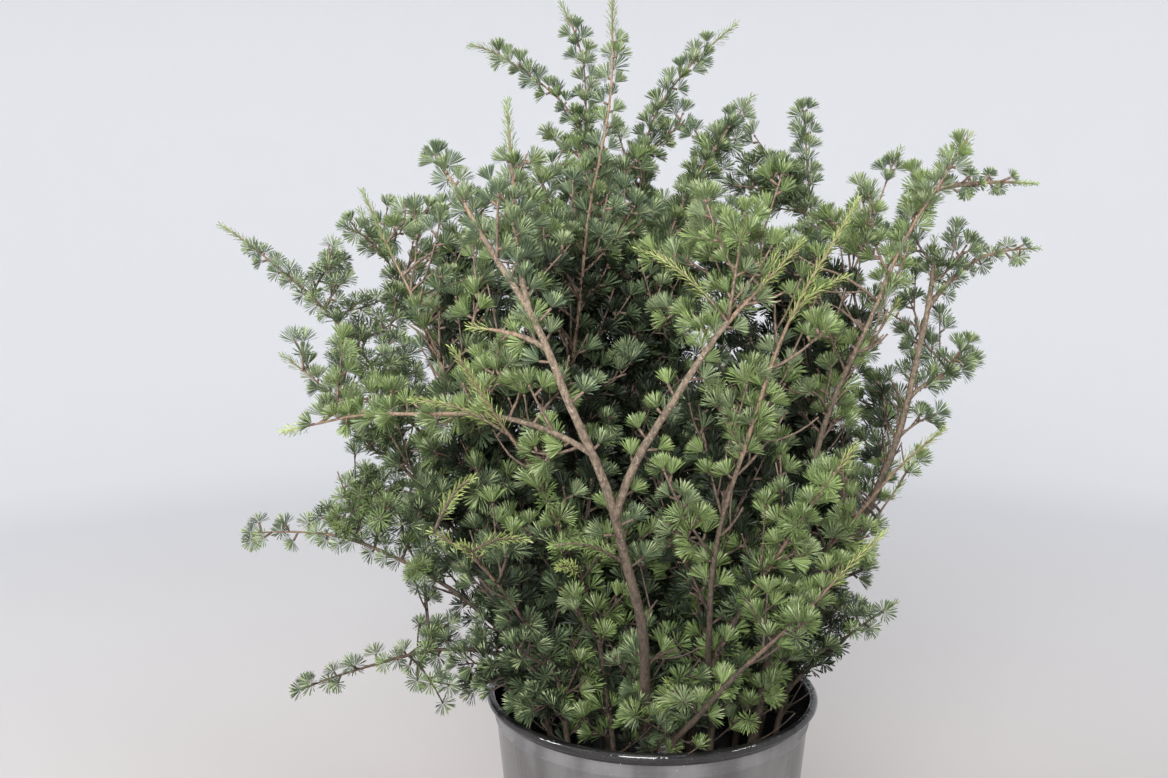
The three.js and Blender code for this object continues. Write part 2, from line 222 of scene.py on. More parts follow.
studio = bmesh.new()
cove = arc((FLOOR_RADIUS, COVE_RADIUS), COVE_RADIUS, -90, 0, COVE_STEPS)
spin_profile(studio, [(0, 0), *cove, (FLOOR_RADIUS + COVE_RADIUS, WALL_TOP)], STUDIO_TURNS)
paint, paint_wire, paint_shader = start_finish("studio_paint", Roughness=PAINT_ROUGHNESS)
paint_place = paint_wire.node("ShaderNodeTexCoord", output="Object")
length = {"operation": "LENGTH"}
paint_away = paint_wire.node("ShaderNodeVectorMath", length, {0: paint_place}, output="Value")
paler = (paint_away - PALER_FROM) * (1 / PALER_BY)
feed(paint_shader, paint_wire, "Base Color", paler.colour(FLOOR_PALE, WALL_PALE))
backdrop = object_from("studio", studio, paint)
backdrop.data.shade_smooth()
print("studio faces:", len(backdrop.data.polygons))

# %% Lamps and sky
LAMPS = {
    "front": {"place": (-0.45, -2.3, 1.65), "size": 1.1, "power": 86},
    "left": {"place": (-1.8, -1.2, 1.8), "size": 1.4, "power": 8},
    "above": {"place": (-0.1, -0.3, 2.8), "size": 1.6, "power": 44},
    "left_glint": {"place": (-1.7, -0.5, 1.25), "size": 0.3, "power": 11},
    "right_glint": {"place": (1.5, -0.75, 1.6), "size": 0.26, "power": 7},
}
LAMPS_AIM = Vector((0, 0, 0.55))
SKY_COLOUR = (0.93, 0.95, 1.0, 1)
SKY_STRENGTH = 0.28

for name, lamp in LAMPS.items():
    data = bpy.data.lights.new(name, "AREA")
    data.size = lamp["size"]
    data.energy = lamp["power"]
    light = bpy.data.objects.new(name, data)
    light.location = lamp["place"]
    light.rotation_euler = (LAMPS_AIM - light.location).to_track_quat("-Z", "Y").to_euler()
    light.visible_camera = False
    bpy.context.scene.collection.objects.link(light)

sky = bpy.data.worlds.new("sky")
sky.use_nodes = True
sky.node_tree.nodes["Background"].inputs["Color"].default_value = SKY_COLOUR
sky.node_tree.nodes["Background"].inputs["Strength"].default_value = SKY_STRENGTH
bpy.context.scene.world = sky
bpy.context.scene.view_settings.view_transform = "Standard"
print("lamps:", list(LAMPS))

# %% [markdown]
# ## The bucket
# A florist's bucket is moulded in one piece of dark plastic: a tapered wall, a rolled rim, a band under the
# rim that keeps stacked buckets apart, and a flat floor. It is round, so a spin of its half section makes
# it all. Moulded plastic is glossy, and the wall's finish is a hazy grey with darker patches that run down
# it: painted reflections of dark shapes round the bucket. The rim and the inside are nearly black, and the
# rim is the glossiest. Each has a finish of its own, dealt out by place.

# %% Bucket sizes
BUCKET_HEIGHT = 300 * MM
BASE_RADIUS = 115 * MM
MOUTH_RADIUS = 143 * MM
WALL = 2.6 * MM
BUCKET_FLOOR = 4 * MM
FOOT_ROUND = 3 * MM
RIM_RADIUS = 4 * MM
RIM_OUT = 3 * MM
BAND_DROP = 17 * MM
BAND_TALL = 5 * MM
BAND_PROUD = 1.2 * MM
LIP_TALL = 4 * MM
FOOT_STEPS = 4
RIM_STEPS = 12
RIM_END = 144
BUCKET_TURNS = 128
RIM_BOTTOM = BUCKET_HEIGHT - 2 * RIM_RADIUS


def wall_radius(height):
    """The outer radius of the tapered wall at a height."""
    share = (height - FOOT_ROUND) / (RIM_BOTTOM - FOOT_ROUND)
    return BASE_RADIUS + (MOUTH_RADIUS - BASE_RADIUS) * share


print("wall across at half height:", round(2 * wall_radius(BUCKET_HEIGHT / 2) / MM), "mm")

# %% Spin the bucket
def bucket_profile():
    foot = arc((BASE_RADIUS - FOOT_ROUND, FOOT_ROUND), FOOT_ROUND, -90, 0, FOOT_STEPS)
    band_low = RIM_BOTTOM - BAND_DROP
    band_high = band_low + BAND_TALL
    band = [(wall_radius(band_low), band_low)]
    band.append((wall_radius(band_low) + BAND_PROUD, band_low + BAND_PROUD))
    band.append((wall_radius(band_high) + BAND_PROUD, band_high - BAND_PROUD))
    band.append((wall_radius(band_high), band_high))
    rim = arc((MOUTH_RADIUS + RIM_OUT, BUCKET_HEIGHT - RIM_RADIUS), RIM_RADIUS, -90, RIM_END, RIM_STEPS)
    inner = [(MOUTH_RADIUS - WALL, RIM_BOTTOM), (BASE_RADIUS - WALL, BUCKET_FLOOR), (0, BUCKET_FLOOR)]
    lip = [(wall_radius(RIM_BOTTOM - LIP_TALL), RIM_BOTTOM - LIP_TALL), (MOUTH_RADIUS, RIM_BOTTOM)]
    return [(0, 0), *foot, *band, *lip, *rim, *inner]


OUTSIDE, RIM, INSIDE = range(3)


def bucket_part(centre):
    """Which finish a face takes, from where its middle is."""
    radius = math.hypot(centre.x, centre.y)
    is_inside = centre.z > BUCKET_FLOOR / 2 and radius < wall_radius(centre.z) - WALL / 2
    if centre.z > RIM_BOTTOM - LIP_TALL and not (is_inside and centre.z < RIM_BOTTOM):
        return RIM
    return INSIDE if is_inside else OUTSIDE


bucket_bm = bmesh.new()
spin_profile(bucket_bm, bucket_profile(), BUCKET_TURNS)
for face in bucket_bm.faces:
    face.material_index = bucket_part(face.calc_center_median())
    face.smooth = True
print("corners of the bucket:", len(bucket_bm.verts))

# %% Bucket finishes
PLASTIC_IOR = 1.5
SPECK = (0.40, 0.40, 0.41, 1)
SPECKS = {"scale": 760, "stretch": (1, 1, 1), "detail": 2, "ends": (0.72, 0.77)}
# Painted reflections of dark shapes, as darker patches that run down the plastic.
REFLECTION_PATCHES = {"stretch": (1, 1, 0.3), "detail": 5, "ends": (0.28, 0.72)}
SCUFFS = {"scale": 240, "stretch": (1, 1, 0.2), "detail": 5}
SCUFFS_ROUGHEN = 0.16
DENTS = {"scale": 70, "detail": 4}
DENT_DEPTH = 1.2 * MM
PLASTICS = {
    "bucket_wall": {
        "dark": (0.074, 0.070, 0.071, 1), "pale": (0.150, 0.145, 0.146, 1), "roughness": 0.10,
        "reflection_scale": 34, "dents": 0.2,
    },
    "bucket_rim": {
        "dark": (0.006, 0.006, 0.006, 1), "pale": (0.018, 0.017, 0.017, 1), "roughness": 0.02,
        "reflection_scale": 40, "dents": 0.9,
    },
    "bucket_inside": {
        "dark": (0.006, 0.006, 0.007, 1), "pale": (0.016, 0.016, 0.017, 1), "roughness": 0.12,
        "reflection_scale": 30, "dents": 0.3,
    },
}


def plastic(name, dark, pale, roughness, reflection_scale, dents):
    """Scuffed plastic with painted reflections in darker patches, pale specks and low dents."""
    material, wire, shader = start_finish(name, IOR=PLASTIC_IOR)
    painted_reflections = patches(wire, reflection_scale, **REFLECTION_PATCHES)
    specks = patches(wire, **SPECKS)
    scuffs = pattern(wire, **SCUFFS)
    # Painted reflections: the darker patches stand in for dark shapes reflected in the glossy plastic.
    feed(shader, wire, "Base Color", specks.colour(painted_reflections.colour(dark, pale), SPECK))
    feed(shader, wire, "Roughness", scuffs * SCUFFS_ROUGHEN + roughness)
    feed(shader, wire, "Normal", bump(wire, pattern(wire, **DENTS), dents, DENT_DEPTH))
    return material


plastics = [plastic(name, **look) for name, look in PLASTICS.items()]
bucket = object_from("bucket_moulding", bucket_bm, *plastics)
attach(bucket, "root")
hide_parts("bucket")
print("bucket faces:", len(bucket.data.polygons))

# %% [markdown]
# ## The boughs' plan
# A plan of a few numbers says how each bough runs, and it is the same plan that the solids follow. A place
# is given round the bucket's axis: a turn in degrees from +X towards +Y, a reach in millimetres, and a
# height. `neck` is where a bough passes the rim, `knee` is a place that it bends through, `radius` is half
# its thickness at the foot in millimetres, `limb` is the share of its run above the rim that is bare wood,
# and `sides` are the stems that leave the bare wood for a tip of their own, with the share of the bare wood
# where they leave it. One bough has no neck: it is the other arm of a fork, and leaves the first arm as a
# side stem would.

# %% Plan of the front and right boughs
PLAN = {
    "front_fork": {
        "neck": (-96, 100), "knee": (-101, 204, 504), "tip": (-139, 228, 766), "radius": 5.8, "limb": 0.8,
        "sides": {
            "left_arch": (0.66, -169, 318, 547),
            "left_level": (0.85, -129.5, 227, 642),
            "upright": (0.92, -128, 190, 805),
        },
    },
    "front_fork_right": {"fork_of": ("front_fork", 0.54), "tip": (-66, 222, 705), "radius": 3, "limb": 0.5},
    "front_low_right": {
        "neck": (-84, 120), "knee": (-68, 196, 398), "tip": (-44, 232, 482), "radius": 3.8, "limb": 0.08,
    },
    "front_right": {
        "neck": (-62, 100), "knee": (-73.5, 198, 561), "tip": (-51, 217, 735), "radius": 4.6, "limb": 0.26,
        "sides": {"outer": (0.5, -58, 250, 560)},
    },
    "right_upper": {
        "neck": (-38, 112), "knee": (-27, 182, 625), "tip": (-15, 258, 790), "radius": 4.8, "limb": 0.5,
        "sides": {"outer": (0.7, 0, 332, 754), "front": (0.3, -32, 255, 560)},
    },
    "right_low": {
        "neck": (-13, 121), "tip": (-2, 222, 490), "radius": 3.8, "limb": 0.14,
        "sides": {"shoot": (0.1, -14, 214, 394)},
    },
    "right_side": {
        "neck": (10, 112), "knee": (5, 240, 597), "tip": (9, 259, 704), "radius": 4.8, "limb": 0.88,
        "sides": {"outer": (0.97, 15, 385, 697), "short": (0.75, 9, 297, 590)},
    },
    "right_back": {
        "neck": (33, 115), "tip": (25, 266, 788), "radius": 4.4, "limb": 0.07,
        "sides": {"low": (0.1, 42, 262, 540)},
    },
}
print("boughs so far:", len(PLAN))

# %% Plan of the back, left and middle boughs
PLAN |= {
    "back_right": {
        "neck": (60, 100), "knee": (84, 96, 774), "tip": (54, 136, 904), "radius": 4.6, "limb": 0.12,
        "sides": {"low": (0.45, 68, 232, 610)},
    },
    "back": {
        "neck": (87, 117), "tip": (88, 205, 720), "radius": 4.4, "limb": 0.08,
        "sides": {"low": (0.1, 88, 238, 470)},
    },
    "back_left": {
        "neck": (114, 104), "tip": (121, 160, 928), "radius": 4.8, "limb": 0.12,
        "sides": {"outer": (0.2, 143, 212, 889)},
    },
    "left_back": {
        "neck": (140, 117), "tip": (137, 262, 690), "radius": 4.4, "limb": 0.08,
        "sides": {"low": (0.1, 128, 240, 500)},
    },
    "far_left": {
        "neck": (163, 108), "tip": (163, 284, 730), "radius": 4.6, "limb": 0.16,
        "sides": {"outer": (0.4, 176, 387, 716)},
    },
    "left_low": {
        "neck": (184, 119), "tip": (178, 328, 600), "radius": 4.4, "limb": 0.22,
        "sides": {"lowest": (0.3, 176, 327, 286), "level": (0.62, 178, 364, 440)},
    },
    "left_shoot": {"neck": (207, 108), "tip": (190, 249, 742), "radius": 4.2, "limb": 0.07},
    "front_low_left": {"neck": (231, 121), "tip": (228, 256, 492), "radius": 3.8, "limb": 0.06},
    "front_left": {"neck": (248, 104), "tip": (234.5, 265, 628), "radius": 4.2, "limb": 0.06},
    "top_centre": {
        "neck": (200, 44), "knee": (208, 80, 660), "tip": (180, 37, 925), "radius": 5, "limb": 0.1,
    },
    "upper_right": {
        "neck": (40, 50), "knee": (29, 175, 709), "tip": (36, 178, 826), "radius": 4.4, "limb": 0.08,
    },
    "middle_right": {
        "neck": (-42, 48), "knee": (14, 21, 726), "tip": (10, 84, 826), "radius": 4.4, "limb": 0.08,
    },
    "middle_left": {"neck": (125, 46), "tip": (158, 122, 806), "radius": 4.4, "limb": 0.08},
}
print("boughs:", len(PLAN))

# %% [markdown]
# ## Lines to grow along
# Wood follows a line: straight from the bucket's floor to the rim, then one bend over to the tip. A curve
# object could carry it, but twigs, spurs and needles all have to know where the line is and where it heads,
# so it is kept as a row of points with the distance of each from the root. A slow waver keeps wood from
# looking drawn with a ruler. A few stems are drawn more closely than the solids have them: side stems that
# bend later or leave their limb later, spires that bow aside on the way to their tips, and one that ends a
# little sooner.

# %% A line and where it heads
BEND_POINTS = 60
HEADING_REACH = 4 * MM


def unit(vectors):
    return vectors / np.linalg.norm(vectors, axis=-1, keepdims=True)


class Line:
    """A row of points that something grows along, with each point's distance from the root."""

    def __init__(self, points):
        self.points = np.asarray(points, float)
        steps = np.linalg.norm(np.diff(self.points, axis=0), axis=1)
        self.distance = np.concatenate([[0], np.cumsum(steps)])
        self.length = self.distance[-1]

    def at(self, distance):
        columns = [np.interp(distance, self.distance, column) for column in self.points.T]
        return np.stack(columns, axis=-1)

    def heading(self, distance):
        return unit(self.at(distance + HEADING_REACH) - self.at(distance - HEADING_REACH))

    def part(self, start, end, count):
        return Line(self.at(np.linspace(start, end, count)))


def place(turn, reach, height):
    """A place of the plan as metres along X, Y and Z."""
    angle = math.radians(turn)
    return np.array([reach * math.cos(angle), reach * math.sin(angle), height]) * MM


def bend(start, control, end):
    """The points of a line of one bend, from a start to an end, pulled towards a control point."""
    t = np.linspace(0, 1, BEND_POINTS)[:, None]
    return (1 - t) ** 2 * start + 2 * t * (1 - t) * control + t**2 * end


print("a turn of 90 degrees at 100 mm is", place(90, 100, 0).round(3))

# %% The bough lines
FOOT_SHARE_OF_NECK = 0.55
STRAIGHT_ON_SHARE = 0.45
SIDE_LEAD_SHARE = 0.3
# A lead share is how far a side stem leads on, and a late fork is a share of the bough's run above the rim.
# A bow starts at a share of the stem's run and goes aside by a distance.
LEAD_SHARES = {
    "far_left outer": 0.7, "back_left outer": 1.0, "left_low level": 0.6, "right_side outer": 0.5,
    "right_upper outer": 0.1,
}
LATE_FORKS = {"right_upper outer": 0.9}
BOWS = {
    "top_centre": (0.3, 15 * MM), "back_right": (0.49, -24 * MM), "back_left": (0.5, 18 * MM),
    "back_left outer": (0.35, 72 * MM),
}
CUT_BACK = {"middle_left": 32 * MM}
SEAT_GAP = 0.3 * MM
WAVER = 1.2 * MM
WAVER_LENGTH = 150 * MM
WAVER_SPREAD = (0.8, 1.2)


def waver(line, rng):
    """Swings a line a little from side to side, and not at its root."""
    turns = line.distance[:, None] / WAVER_LENGTH * rng.uniform(*WAVER_SPREAD, (1, 3)) * math.tau
    swing = np.sin(turns + rng.uniform(0, math.tau, (1, 3)))
    fade = np.clip(line.distance / WAVER_LENGTH, 0, 1)[:, None]
    return Line(line.points + WAVER * fade * swing)


def bowed(line, name, start=0):
    """Bows a line aside on the way to its tip, softly at first, if a bow is given for it."""
    if name not in BOWS:
        return line
    share, aside = BOWS[name]
    start += share * (line.length - start)
    along = np.clip((line.distance - start) / (line.length - start), 0, 1)
    return Line(line.points + np.outer(np.sin(math.pi * along**2), (aside, 0, 0)))


def crown_points(foot, neck, knee, tip):
    """The bend above the rim: through the knee if there is one, or straight on from the neck at first."""
    if knee is None:
        straight_on = unit(neck - foot) * STRAIGHT_ON_SHARE * np.linalg.norm(tip - neck)
        return bend(neck, neck + straight_on, tip)
    to_knee = np.linalg.norm(knee - neck)
    t = to_knee / (to_knee + np.linalg.norm(tip - knee))
    control = (knee - (1 - t) ** 2 * neck - t**2 * tip) / (2 * t * (1 - t))
    return bend(neck, control, tip)


def side_points(line, distance, tip, lead_share=SIDE_LEAD_SHARE):
    """A side stem leaves half along its limb and half towards its own tip, and bends late if it leads far."""
    start = line.at(distance)
    to_tip = tip - start
    lead = unit(unit(to_tip) + line.heading(distance)) * lead_share * np.linalg.norm(to_tip)
    return bend(start, start + lead, tip)


print("stems with a bow:", list(BOWS))

# %% Lay out every bough
RISE_POINTS = 12
BOUGH_POINTS = 80
STEM_POINTS = 60
FIRST_SEED = 41
SEED_STEPS = {
    "lines": 1, "twigs": 10, "stem spurs": 20, "limb spurs": 30, "tints": 40, "needles": 50, "skirt": 60,
    "placed": 70, "twig spurs": 1000,
}


def rng_for(job, index=0):
    """Random numbers for one job on one thing, the same in every run."""
    return np.random.default_rng(FIRST_SEED * SEED_STEPS[job] + index)


def lay_out(name, plan, rng):
    """A bough's line, the distance where it is past the rim, and the distance where its bare limb ends."""
    tip = place(*plan["tip"])
    if "fork_of" in plan:
        parent, share = plan["fork_of"]
        limb = boughs[parent]
        at = limb["rim"] + share * (limb["bare_end"] - limb["rim"])
        line = waver(Line(side_points(limb["line"], at, tip)), rng)
        return {"line": line, "rim": 0, "bare_end": plan["limb"] * line.length}
    neck = place(*plan["neck"], BUCKET_HEIGHT / MM)
    foot = place(plan["neck"][0], plan["neck"][1] * FOOT_SHARE_OF_NECK, (BUCKET_FLOOR + SEAT_GAP) / MM)
    knee = place(*plan["knee"]) if "knee" in plan else None
    rise = np.linspace(foot, neck, RISE_POINTS)[:-1]
    line = waver(Line(np.vstack([rise, crown_points(foot, neck, knee, tip)])), rng)
    rim = np.linalg.norm(neck - foot)
    bare_end = rim + plan["limb"] * (line.length - rim)
    line = bowed(line, name, bare_end)
    line = line.part(0, line.length - CUT_BACK.get(name, 0), BOUGH_POINTS)
    return {"line": line, "rim": rim, "bare_end": bare_end}


boughs = {}
stems = []
for index, (name, plan) in enumerate(PLAN.items()):
    rng = rng_for("lines", index)
    bough = lay_out(name, plan, rng)
    boughs[name] = bough
    line, bare_end = bough["line"], bough["bare_end"]
    stems.append({"name": name, "bough": name, "line": line.part(bare_end, line.length, STEM_POINTS)})
    for side, (share, *tip) in plan.get("sides", {}).items():
        side_name = f"{name} {side}"
        at = bough["rim"] + share * (bare_end - bough["rim"])
        if side_name in LATE_FORKS:
            at = bough["rim"] + LATE_FORKS[side_name] * (line.length - bough["rim"])
        lead_share = LEAD_SHARES.get(side_name, SIDE_LEAD_SHARE)
        side_line = waver(Line(side_points(line, at, place(*tip), lead_share)), rng)
        stems.append({"name": side_name, "bough": name, "line": bowed(side_line, side_name)})
print("stems that carry foliage:", len(stems))

# %% [markdown]
# ## The wood
# A bough is a bare limb that goes on as a thin stem, with side stems on it. A curve with a round bevel
# would give a smooth tube at once, but every ring of it has to be roughened, so a ring of points is
# extruded from station to station along the line, turned with the line and drawn in as it thins, and
# pinched to a point at the tip. Bark is not smooth: old wood has low ridges and bumps, so at the end every
# ring is pushed in and out by noise, which is stretched upwards for the ridges. Its colour is a mottle of
# browns with pale flecks and dark cracks. Low down and deep inside the bunch the bark lies in shade, so
# there the finish passes to a painted shade: a darker set of the same browns.

# %% Extrude a length of wood
WOOD_SIDES = 10
WOOD_STEP = 6 * MM
HIDDEN_STEP = 28 * MM
BARK_THICKNESS = 0.45 * MM
LIMB_END_RADIUS = 2.4 * MM
STEM_TIP_RADIUS = 0.7 * MM
YOUNG_BELOW = 1.7 * MM
RIDGES = 0.15
RIDGE_SCALE = (420, 420, 60)
BUMPS = 0.11
BUMP_SCALE = 170
OLD, YOUNG = range(2)


def roughen(vert, centre):
    """Pushes one point of the bark in or out."""
    spot = vert.co
    ridge = noise.noise(Vector([value * scale for value, scale in zip(spot, RIDGE_SCALE)]))
    knob = noise.noise(spot * BUMP_SCALE)
    vert.co = centre + (spot - centre) * (1 + RIDGES * ridge + BUMPS * knob)


def extrude_wood(bm, line, stations, radii):
    """Adds one length of wood, with a ring at each station, and deals old and young bark to its faces."""
    heading = Vector((0, 0, 1))
    here = Vector(line.at(stations[0]))
    made = bmesh.ops.create_circle(bm, cap_ends=True, segments=WOOD_SIDES, radius=radii[0])
    ring = made["verts"]
    edges = list({edge for vert in ring for edge in vert.link_edges})
    bmesh.ops.translate(bm, verts=ring, vec=here)
    rings = []
    for index, station in enumerate(stations):
        if index:
            geom = bmesh.ops.extrude_edge_only(bm, edges=edges)["geom"]
            ring = [item for item in geom if isinstance(item, bmesh.types.BMVert)]
            fresh = set(ring)
            edges = [item for item in geom if isinstance(item, bmesh.types.BMEdge)]
            edges = [edge for edge in edges if fresh >= set(edge.verts)]
            there = Vector(line.at(station))
            bmesh.ops.translate(bm, verts=ring, vec=there - here)
            shrink = radii[index] / radii[index - 1]
            bmesh.ops.scale(bm, verts=ring, vec=(shrink,) * 3, space=Matrix.Translation(-there))
            here = there
        ahead = Vector(line.heading(station))
        turn = heading.rotation_difference(ahead).to_matrix()
        bmesh.ops.rotate(bm, verts=ring, cent=here, matrix=turn)
        heading = ahead
        rings.append((ring, here, radii[index]))
    for ring, centre, radius in rings:
        for vert in ring:
            roughen(vert, centre)
            for face in vert.link_faces:
                face.material_index = YOUNG if radius < YOUNG_BELOW else OLD
    bmesh.ops.pointmerge(bm, verts=ring, merge_co=here)


print("sides of a length of wood:", WOOD_SIDES)

# %% Bark finishes
# Painted shade on the bark: full below LOW_DARK and gone above LOW_LIGHT, where reach from the axis counts as
# height.
LOW_DARK = 0.52
LOW_LIGHT = 0.88
OUT_COUNTS = 0.9
DARKEST_SHADE_SHARE = 0.25
PAINTED_SHADE_SHARE = 0.65
MOTTLE = {"scale": 380, "stretch": (1, 1, 0.6), "detail": 6, "ends": (0.36, 0.64)}
FLECKS = {"scale": 620, "stretch": (1, 1, 0.8), "detail": 3, "ends": (0.60, 0.68)}
CRACKS = {"scale": 700, "stretch": (1, 1, 0.4), "detail": 4, "ends": (0.58, 0.70)}
MOTTLE_ROUGHENS = 0.15
RELIEF = {"mottle": 0.5, "flecks": 0.6, "cracks": 0.8}
RELIEF_STRENGTH = 0.7
RELIEF_DEPTH = 0.6 * MM
BARKS = {
    "old_bark": {
        "shade": (0.112, 0.078, 0.052, 1), "light": (0.230, 0.175, 0.122, 1), "fleck": (0.38, 0.315, 0.24, 1),
        "roughness": 0.7,
    },
    "young_bark": {
        "shade": (0.160, 0.100, 0.063, 1), "light": (0.295, 0.206, 0.134, 1), "fleck": (0.38, 0.30, 0.21, 1),
        "roughness": 0.6,
    },
    "twig_bark": {
        "shade": (0.110, 0.073, 0.052, 1), "light": (0.250, 0.174, 0.123, 1), "fleck": (0.33, 0.25, 0.18, 1),
        "roughness": 0.65,
    },
}


def times(colour, share):
    """A colour made darker or lighter, with an alpha of 1."""
    return tuple(value * share for value in colour[:3]) + (1,)


def bark(name, shade, light, fleck, roughness):
    """Mottled bark with painted shade: darkest at the bunch's foot and lightest high up and far out."""
    material, wire, shader = start_finish(name)
    place_of = wire.node("ShaderNodeTexCoord", output="Object")
    height = wire.node("ShaderNodeSeparateXYZ", None, {"Vector": place_of}, output="Z")
    level = wire.node("ShaderNodeVectorMath", {"operation": "MULTIPLY"}, {0: place_of, 1: (1, 1, 0)})
    outward = wire.node("ShaderNodeVectorMath", {"operation": "LENGTH"}, {0: level}, output="Value")
    # Painted shade: low down and near the axis the bark passes to darker copies of its shade brown.
    above = (height + outward * OUT_COUNTS).step(LOW_DARK, LOW_LIGHT)
    deepest_shade, old = times(shade, DARKEST_SHADE_SHARE), times(shade, PAINTED_SHADE_SHARE)
    mottle = patches(wire, **MOTTLE)
    flecks = patches(wire, **FLECKS)
    cracks = patches(wire, **CRACKS)
    lit_colour = flecks.colour(cracks.colour(mottle.colour(shade, light), shade), fleck)
    painted_shade_colour = flecks.colour(mottle.colour(deepest_shade, old), shade)
    feed(shader, wire, "Base Color", above.colour(painted_shade_colour, lit_colour))
    feed(shader, wire, "Roughness", mottle * MOTTLE_ROUGHENS + roughness)
    relief = mottle * RELIEF["mottle"] + flecks * RELIEF["flecks"] - cracks * RELIEF["cracks"]
    feed(shader, wire, "Normal", bump(wire, relief, RELIEF_STRENGTH, RELIEF_DEPTH))
    return material


old_bark, young_bark, twig_bark = [bark(name, **look) for name, look in BARKS.items()]
print("barks:", list(BARKS))

# %% Make the boughs' wood
def spaced(start, end, step):
    """Stations from a start to an end, about a step apart."""
    return np.linspace(start, end, max(2, round((end - start) / step) + 1))


def wood_of(name):
    """Makes a bough's limb and stems as one piece, and returns how many faces it has."""
    bm = bmesh.new()
    bough, line = boughs[name], boughs[name]["line"]
    foot_radius = PLAN[name]["radius"] * MM
    low = spaced(0, bough["rim"], HIDDEN_STEP)[:-1] if bough["rim"] else []
    stations = np.concatenate([low, spaced(bough["rim"], line.length, WOOD_STEP)])
    marks = [0, bough["bare_end"], line.length]
    radii = np.interp(stations, marks, [foot_radius + BARK_THICKNESS, LIMB_END_RADIUS, STEM_TIP_RADIUS])
    extrude_wood(bm, line, stations, radii)
    for stem in stems:
        if stem["bough"] == name and stem["name"] != name:
            stations = spaced(0, stem["line"].length, WOOD_STEP)
            radii = np.linspace(LIMB_END_RADIUS, STEM_TIP_RADIUS, len(stations))
            extrude_wood(bm, stem["line"], stations, radii)
    for face in bm.faces:
        face.smooth = True
    wood = object_from(name + "_wood", bm, old_bark, young_bark)
    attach(wood, "root")
    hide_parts(name + "_limb")
    return len(wood.data.polygons)


print("faces of wood:", sum(wood_of(name) for name in PLAN))

# %% [markdown]
# ## Twigs by a rule
# Twigs could be scattered over the stems, but scattered ones know nothing of each other and make a hedge.
# So they leave a stem one after the other, each turned on from the last by the golden angle, so that no two
# stand over each other. They lean out by a little under fifty degrees, are longest near the stem's root,
# and curl up towards the light. Smaller twigs grow on them by the same rule. A twig that would reach into
# the space of another stem is tried shorter and then left out. Slim stems, which stand clear of the bunch,
# carry short twigs only, and loose stems carry none. Where the limbs pass the rim they carry a skirt of
# short twigs, so that the bucket's mouth is full of green. Higher up, bare limbs carry only short spurs, on
# their sides and their back.

# %% The space round a stem
SPOTS_EACH = 30
SPACE_OVERLAP = 14 * MM
WALL_ROOM = 16 * MM
RIM_ROOM = 6 * MM
DEEP_INSIDE = 40 * MM

stem_spots = np.vstack([stem["line"].part(0, stem["line"].length, SPOTS_EACH).points for stem in stems])
stem_owner = np.repeat(np.arange(len(stems)), SPOTS_EACH)
stem_index = {stem["name"]: index for index, stem in enumerate(stems)}


def is_clear(spot):
    """True where a spot is clear of the bucket's wall and rim, and not far down inside the bucket."""
    radius = math.hypot(spot[0], spot[1])
    is_by_wall = abs(radius - MOUTH_RADIUS) < WALL_ROOM and spot[2] < BUCKET_HEIGHT + RIM_ROOM
    is_far_down = radius < MOUTH_RADIUS and spot[2] < BUCKET_HEIGHT - DEEP_INSIDE
    return not (is_by_wall or is_far_down)


def is_in_space(spot, owner):
    """True where a spot is about as near to its own stem as to any other, and clear of the bucket."""
    away = np.linalg.norm(stem_spots - spot, axis=1)
    own = away[stem_owner == owner].min()
    return own <= away[stem_owner != owner].min() + SPACE_OVERLAP and is_clear(spot)


print("spots on stems:", len(stem_spots))

# %% [markdown]
# ## Wood that is meant to be seen
# A florist turns the bare face of the best boughs to the front. The fork and a few other boughs are such
# wood, so a twig or a rosette that would stand before them, seen from the front, is left out. To find it,
# places are turned into slopes across and up as the camera has them, together with how far away they are.
# In the same way tips are kept out of the gaps between the sprays, where the background shows through.

# %% Find what would hide the wood
# The two values are shares of a bough's run above the rim: from where to where its wood is shown.
SHOWN = {
    "front_fork": (0.12, 0.92),
    "front_fork_right": (0, 0.95),
    "front_low_right": (0.02, 0.45),
    "front_right": (0.2, 0.97),
    "right_upper": (0.48, 0.9),
    "right_side": (0.42, 0.92),
    "top_centre": (0.5, 0.97),
}
SHOWN_POINTS = 70


def seen_from_front(spots):
    """Slopes across and up from the camera, and the depth, of some places."""
    pitch = math.radians(CAMERA_PITCH)
    away = spots - np.array(CAMERA_PLACE)
    depth = away[:, 1] * math.cos(pitch) - away[:, 2] * math.sin(pitch)
    height = away[:, 1] * math.sin(pitch) + away[:, 2] * math.cos(pitch)
    return np.stack([away[:, 0] / depth, height / depth, depth], axis=1)


shown_spots = []
for name, shares in SHOWN.items():
    bough = boughs[name]
    ends = [bough["rim"] + share * (bough["line"].length - bough["rim"]) for share in shares]
    shown_spots.append(seen_from_front(bough["line"].at(np.linspace(*ends, SHOWN_POINTS))))
shown_spots = np.vstack(shown_spots)


def hides_wood(spots, margin):
    """True if any of the places stands before shown wood, closer to it than a margin."""
    seen = seen_from_front(spots)[:, None]
    is_before = seen[..., 2] < shown_spots[:, 2] - margin / 2
    beside = np.linalg.norm(seen[..., :2] - shown_spots[:, :2], axis=-1) * seen[..., 2]
    return bool((is_before & (beside < margin)).any())


print("places on shown wood:", len(shown_spots))

